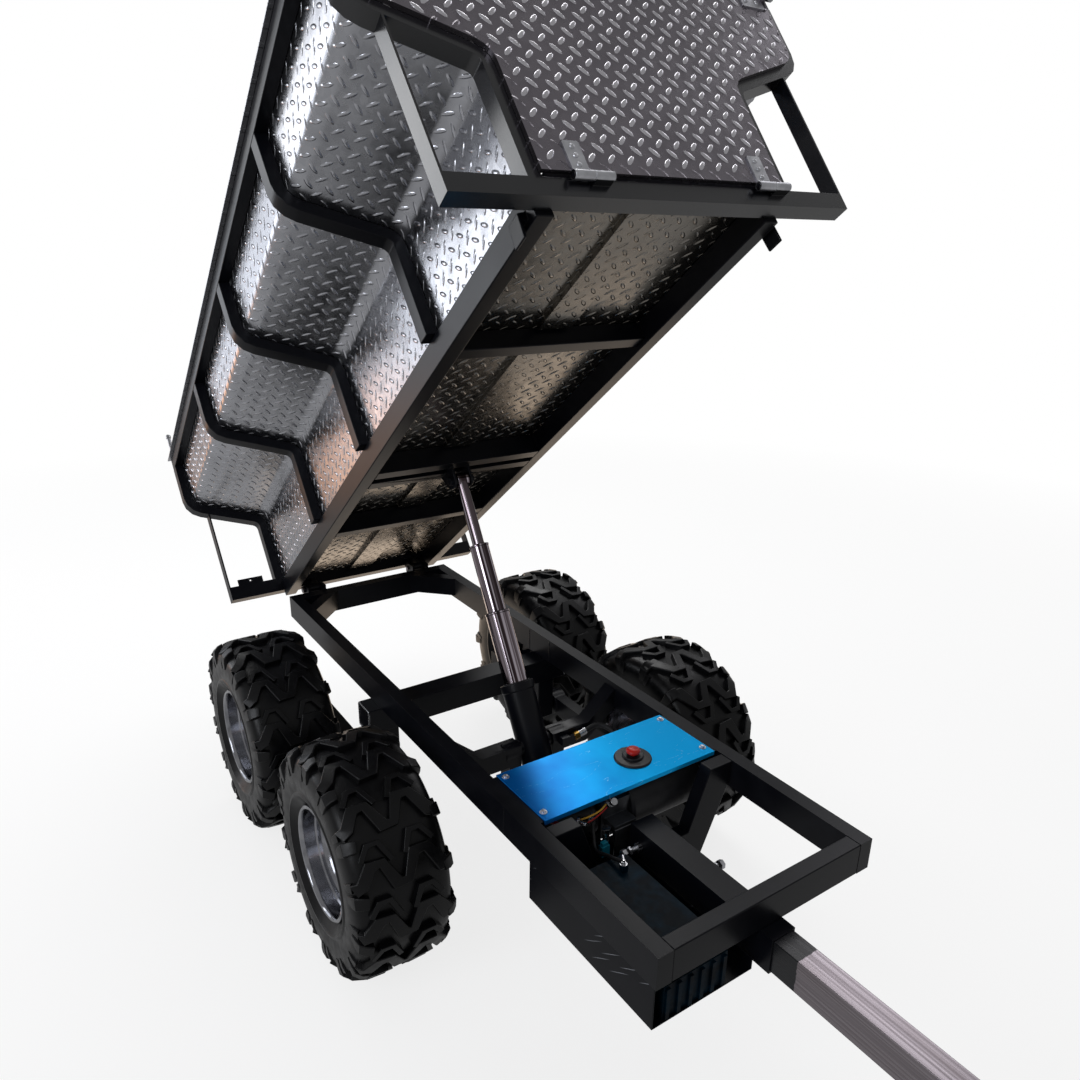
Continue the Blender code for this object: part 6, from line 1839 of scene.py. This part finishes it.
# The camera's turn; columns are its right, up and backward directions
VIEW = Matrix(
    (
        (0.5632721, -0.2972755, 0.7709421),
        (0.8261092, 0.1841265, -0.5325796),
        (0.0163720, 0.9368696, 0.3492953),
    )
)


@dataclass
class Studio:
    """Camera, lamps and pale floor."""

    place: Place = (1.82589, -1.2336, 1.87346)
    focal_px: float = 876.133
    middle_px: Point = (547.85, 558.85)
    frame_px: int = 1080
    sensor: float = 36.0
    floor_half: float = 30.0
    white: str = "#ffffff"

    def camera(self) -> None:
        """Sets the camera at the photograph's viewing angle."""
        data = bpy.data.cameras.new("photo_camera")
        data.sensor_width = self.sensor
        data.sensor_fit = "HORIZONTAL"
        data.lens = self.focal_px * self.sensor / self.frame_px
        half = self.frame_px / 2
        data.shift_x = (half - self.middle_px[0]) / self.frame_px
        data.shift_y = (self.middle_px[1] - half) / self.frame_px
        item = linked("photo_camera", data)
        item.matrix_world = Matrix.Translation(self.place) @ VIEW.to_4x4()
        bpy.context.scene.camera = item

    def paper(self) -> bpy.types.Material:
        """The floor's finish: pale paper that keeps shadows and turns to plain white further away."""
        p = Painter("studio_floor_paper")
        rays = add_node(p.tree, "LightPath").outputs
        # Darker to all but the camera, so that the trailer's underside stays dark
        tone = p.add("Mix", {0: rays["Is Camera Ray"], 6: "#8f8f8f", 7: "#f4f4f4"}, **BLEND)
        diffuse = p.add("BsdfDiffuse", {"Color": tone})
        white = p.add("Emission", {"Color": self.white, "Strength": 1.0})
        away = p.add("VectorMath.LENGTH", p.place, out="Value")
        plain = p.add("MapRange", away, 2.2, 6.5, 0.80, 1.0)
        seen = p.add("Math.MULTIPLY", rays["Is Camera Ray"], plain)
        mirrored = p.add("Math.MULTIPLY", rays["Is Glossy Ray"], 0.26)
        through = p.add("Math.MULTIPLY", rays["Is Transmission Ray"], plain)
        both = p.add("Math.ADD", seen, mirrored)
        share = p.add("Math.ADD", both, through, use_clamp=True)
        p.add_surface(p.add("MixShader", share, diffuse, white))
        return p.material

    def floor(self) -> None:
        """A wide pale floor that keeps the trailer's shadow."""
        half = self.floor_half
        mesh = bpy.data.meshes.new("studio_floor")
        corners = [(-half, -half, 0), (half, -half, 0), (half, half, 0), (-half, half, 0)]
        mesh.from_pydata(corners, [], [(0, 1, 2, 3)])
        mesh.materials.append(self.paper())
        linked("studio_floor", mesh)

    def world(self) -> None:
        """White where the camera looks, plain grey light elsewhere."""
        world = bpy.data.worlds.new("studio_air")
        bpy.context.scene.world = world
        world.use_nodes = True
        tree = world.node_tree
        tree.nodes.clear()
        rays = add_node(tree, "LightPath").outputs
        sharp = (rays["Is Camera Ray"], rays["Is Transmission Ray"])
        clear = add_node(tree, "Math.MAXIMUM", *sharp).outputs[0]
        glossy = add_node(tree, "Math.MULTIPLY", rays["Is Glossy Ray"], 0.06).outputs[0]
        share = add_node(tree, "Math.MAXIMUM", clear, glossy).outputs[0]
        strength = add_node(tree, "MapRange", share, 0.0, 1.0, 0.26, 1.0).outputs[0]
        air = add_node(tree, "Background", {"Color": self.white, "Strength": strength}).outputs[0]
        add_node(tree, "OutputWorld", {"Surface": air})

    def build(self) -> None:
        """Makes the stage."""
        self.camera()
        self.floor()
        self.world()
        for lamp in LAMPS:
            lamp.build()
        bpy.context.scene.view_settings.view_transform = "Standard"


def main() -> None:
    """Builds the trailer's looks in order."""
    logging.basicConfig(level=logging.INFO, format="%(name)s: %(message)s")
    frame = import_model()
    finishes = make_finishes()
    CarriedNodes().dress(frame["nodes"], finishes)
    for assembly in (BedSkin(), GateFittings(), CylinderTrim(), RunningGear(), Fittings(), Wiring(), Welds()):
        assembly.build(finishes)
    Studio().build()


if __name__ == "__main__":
    main()
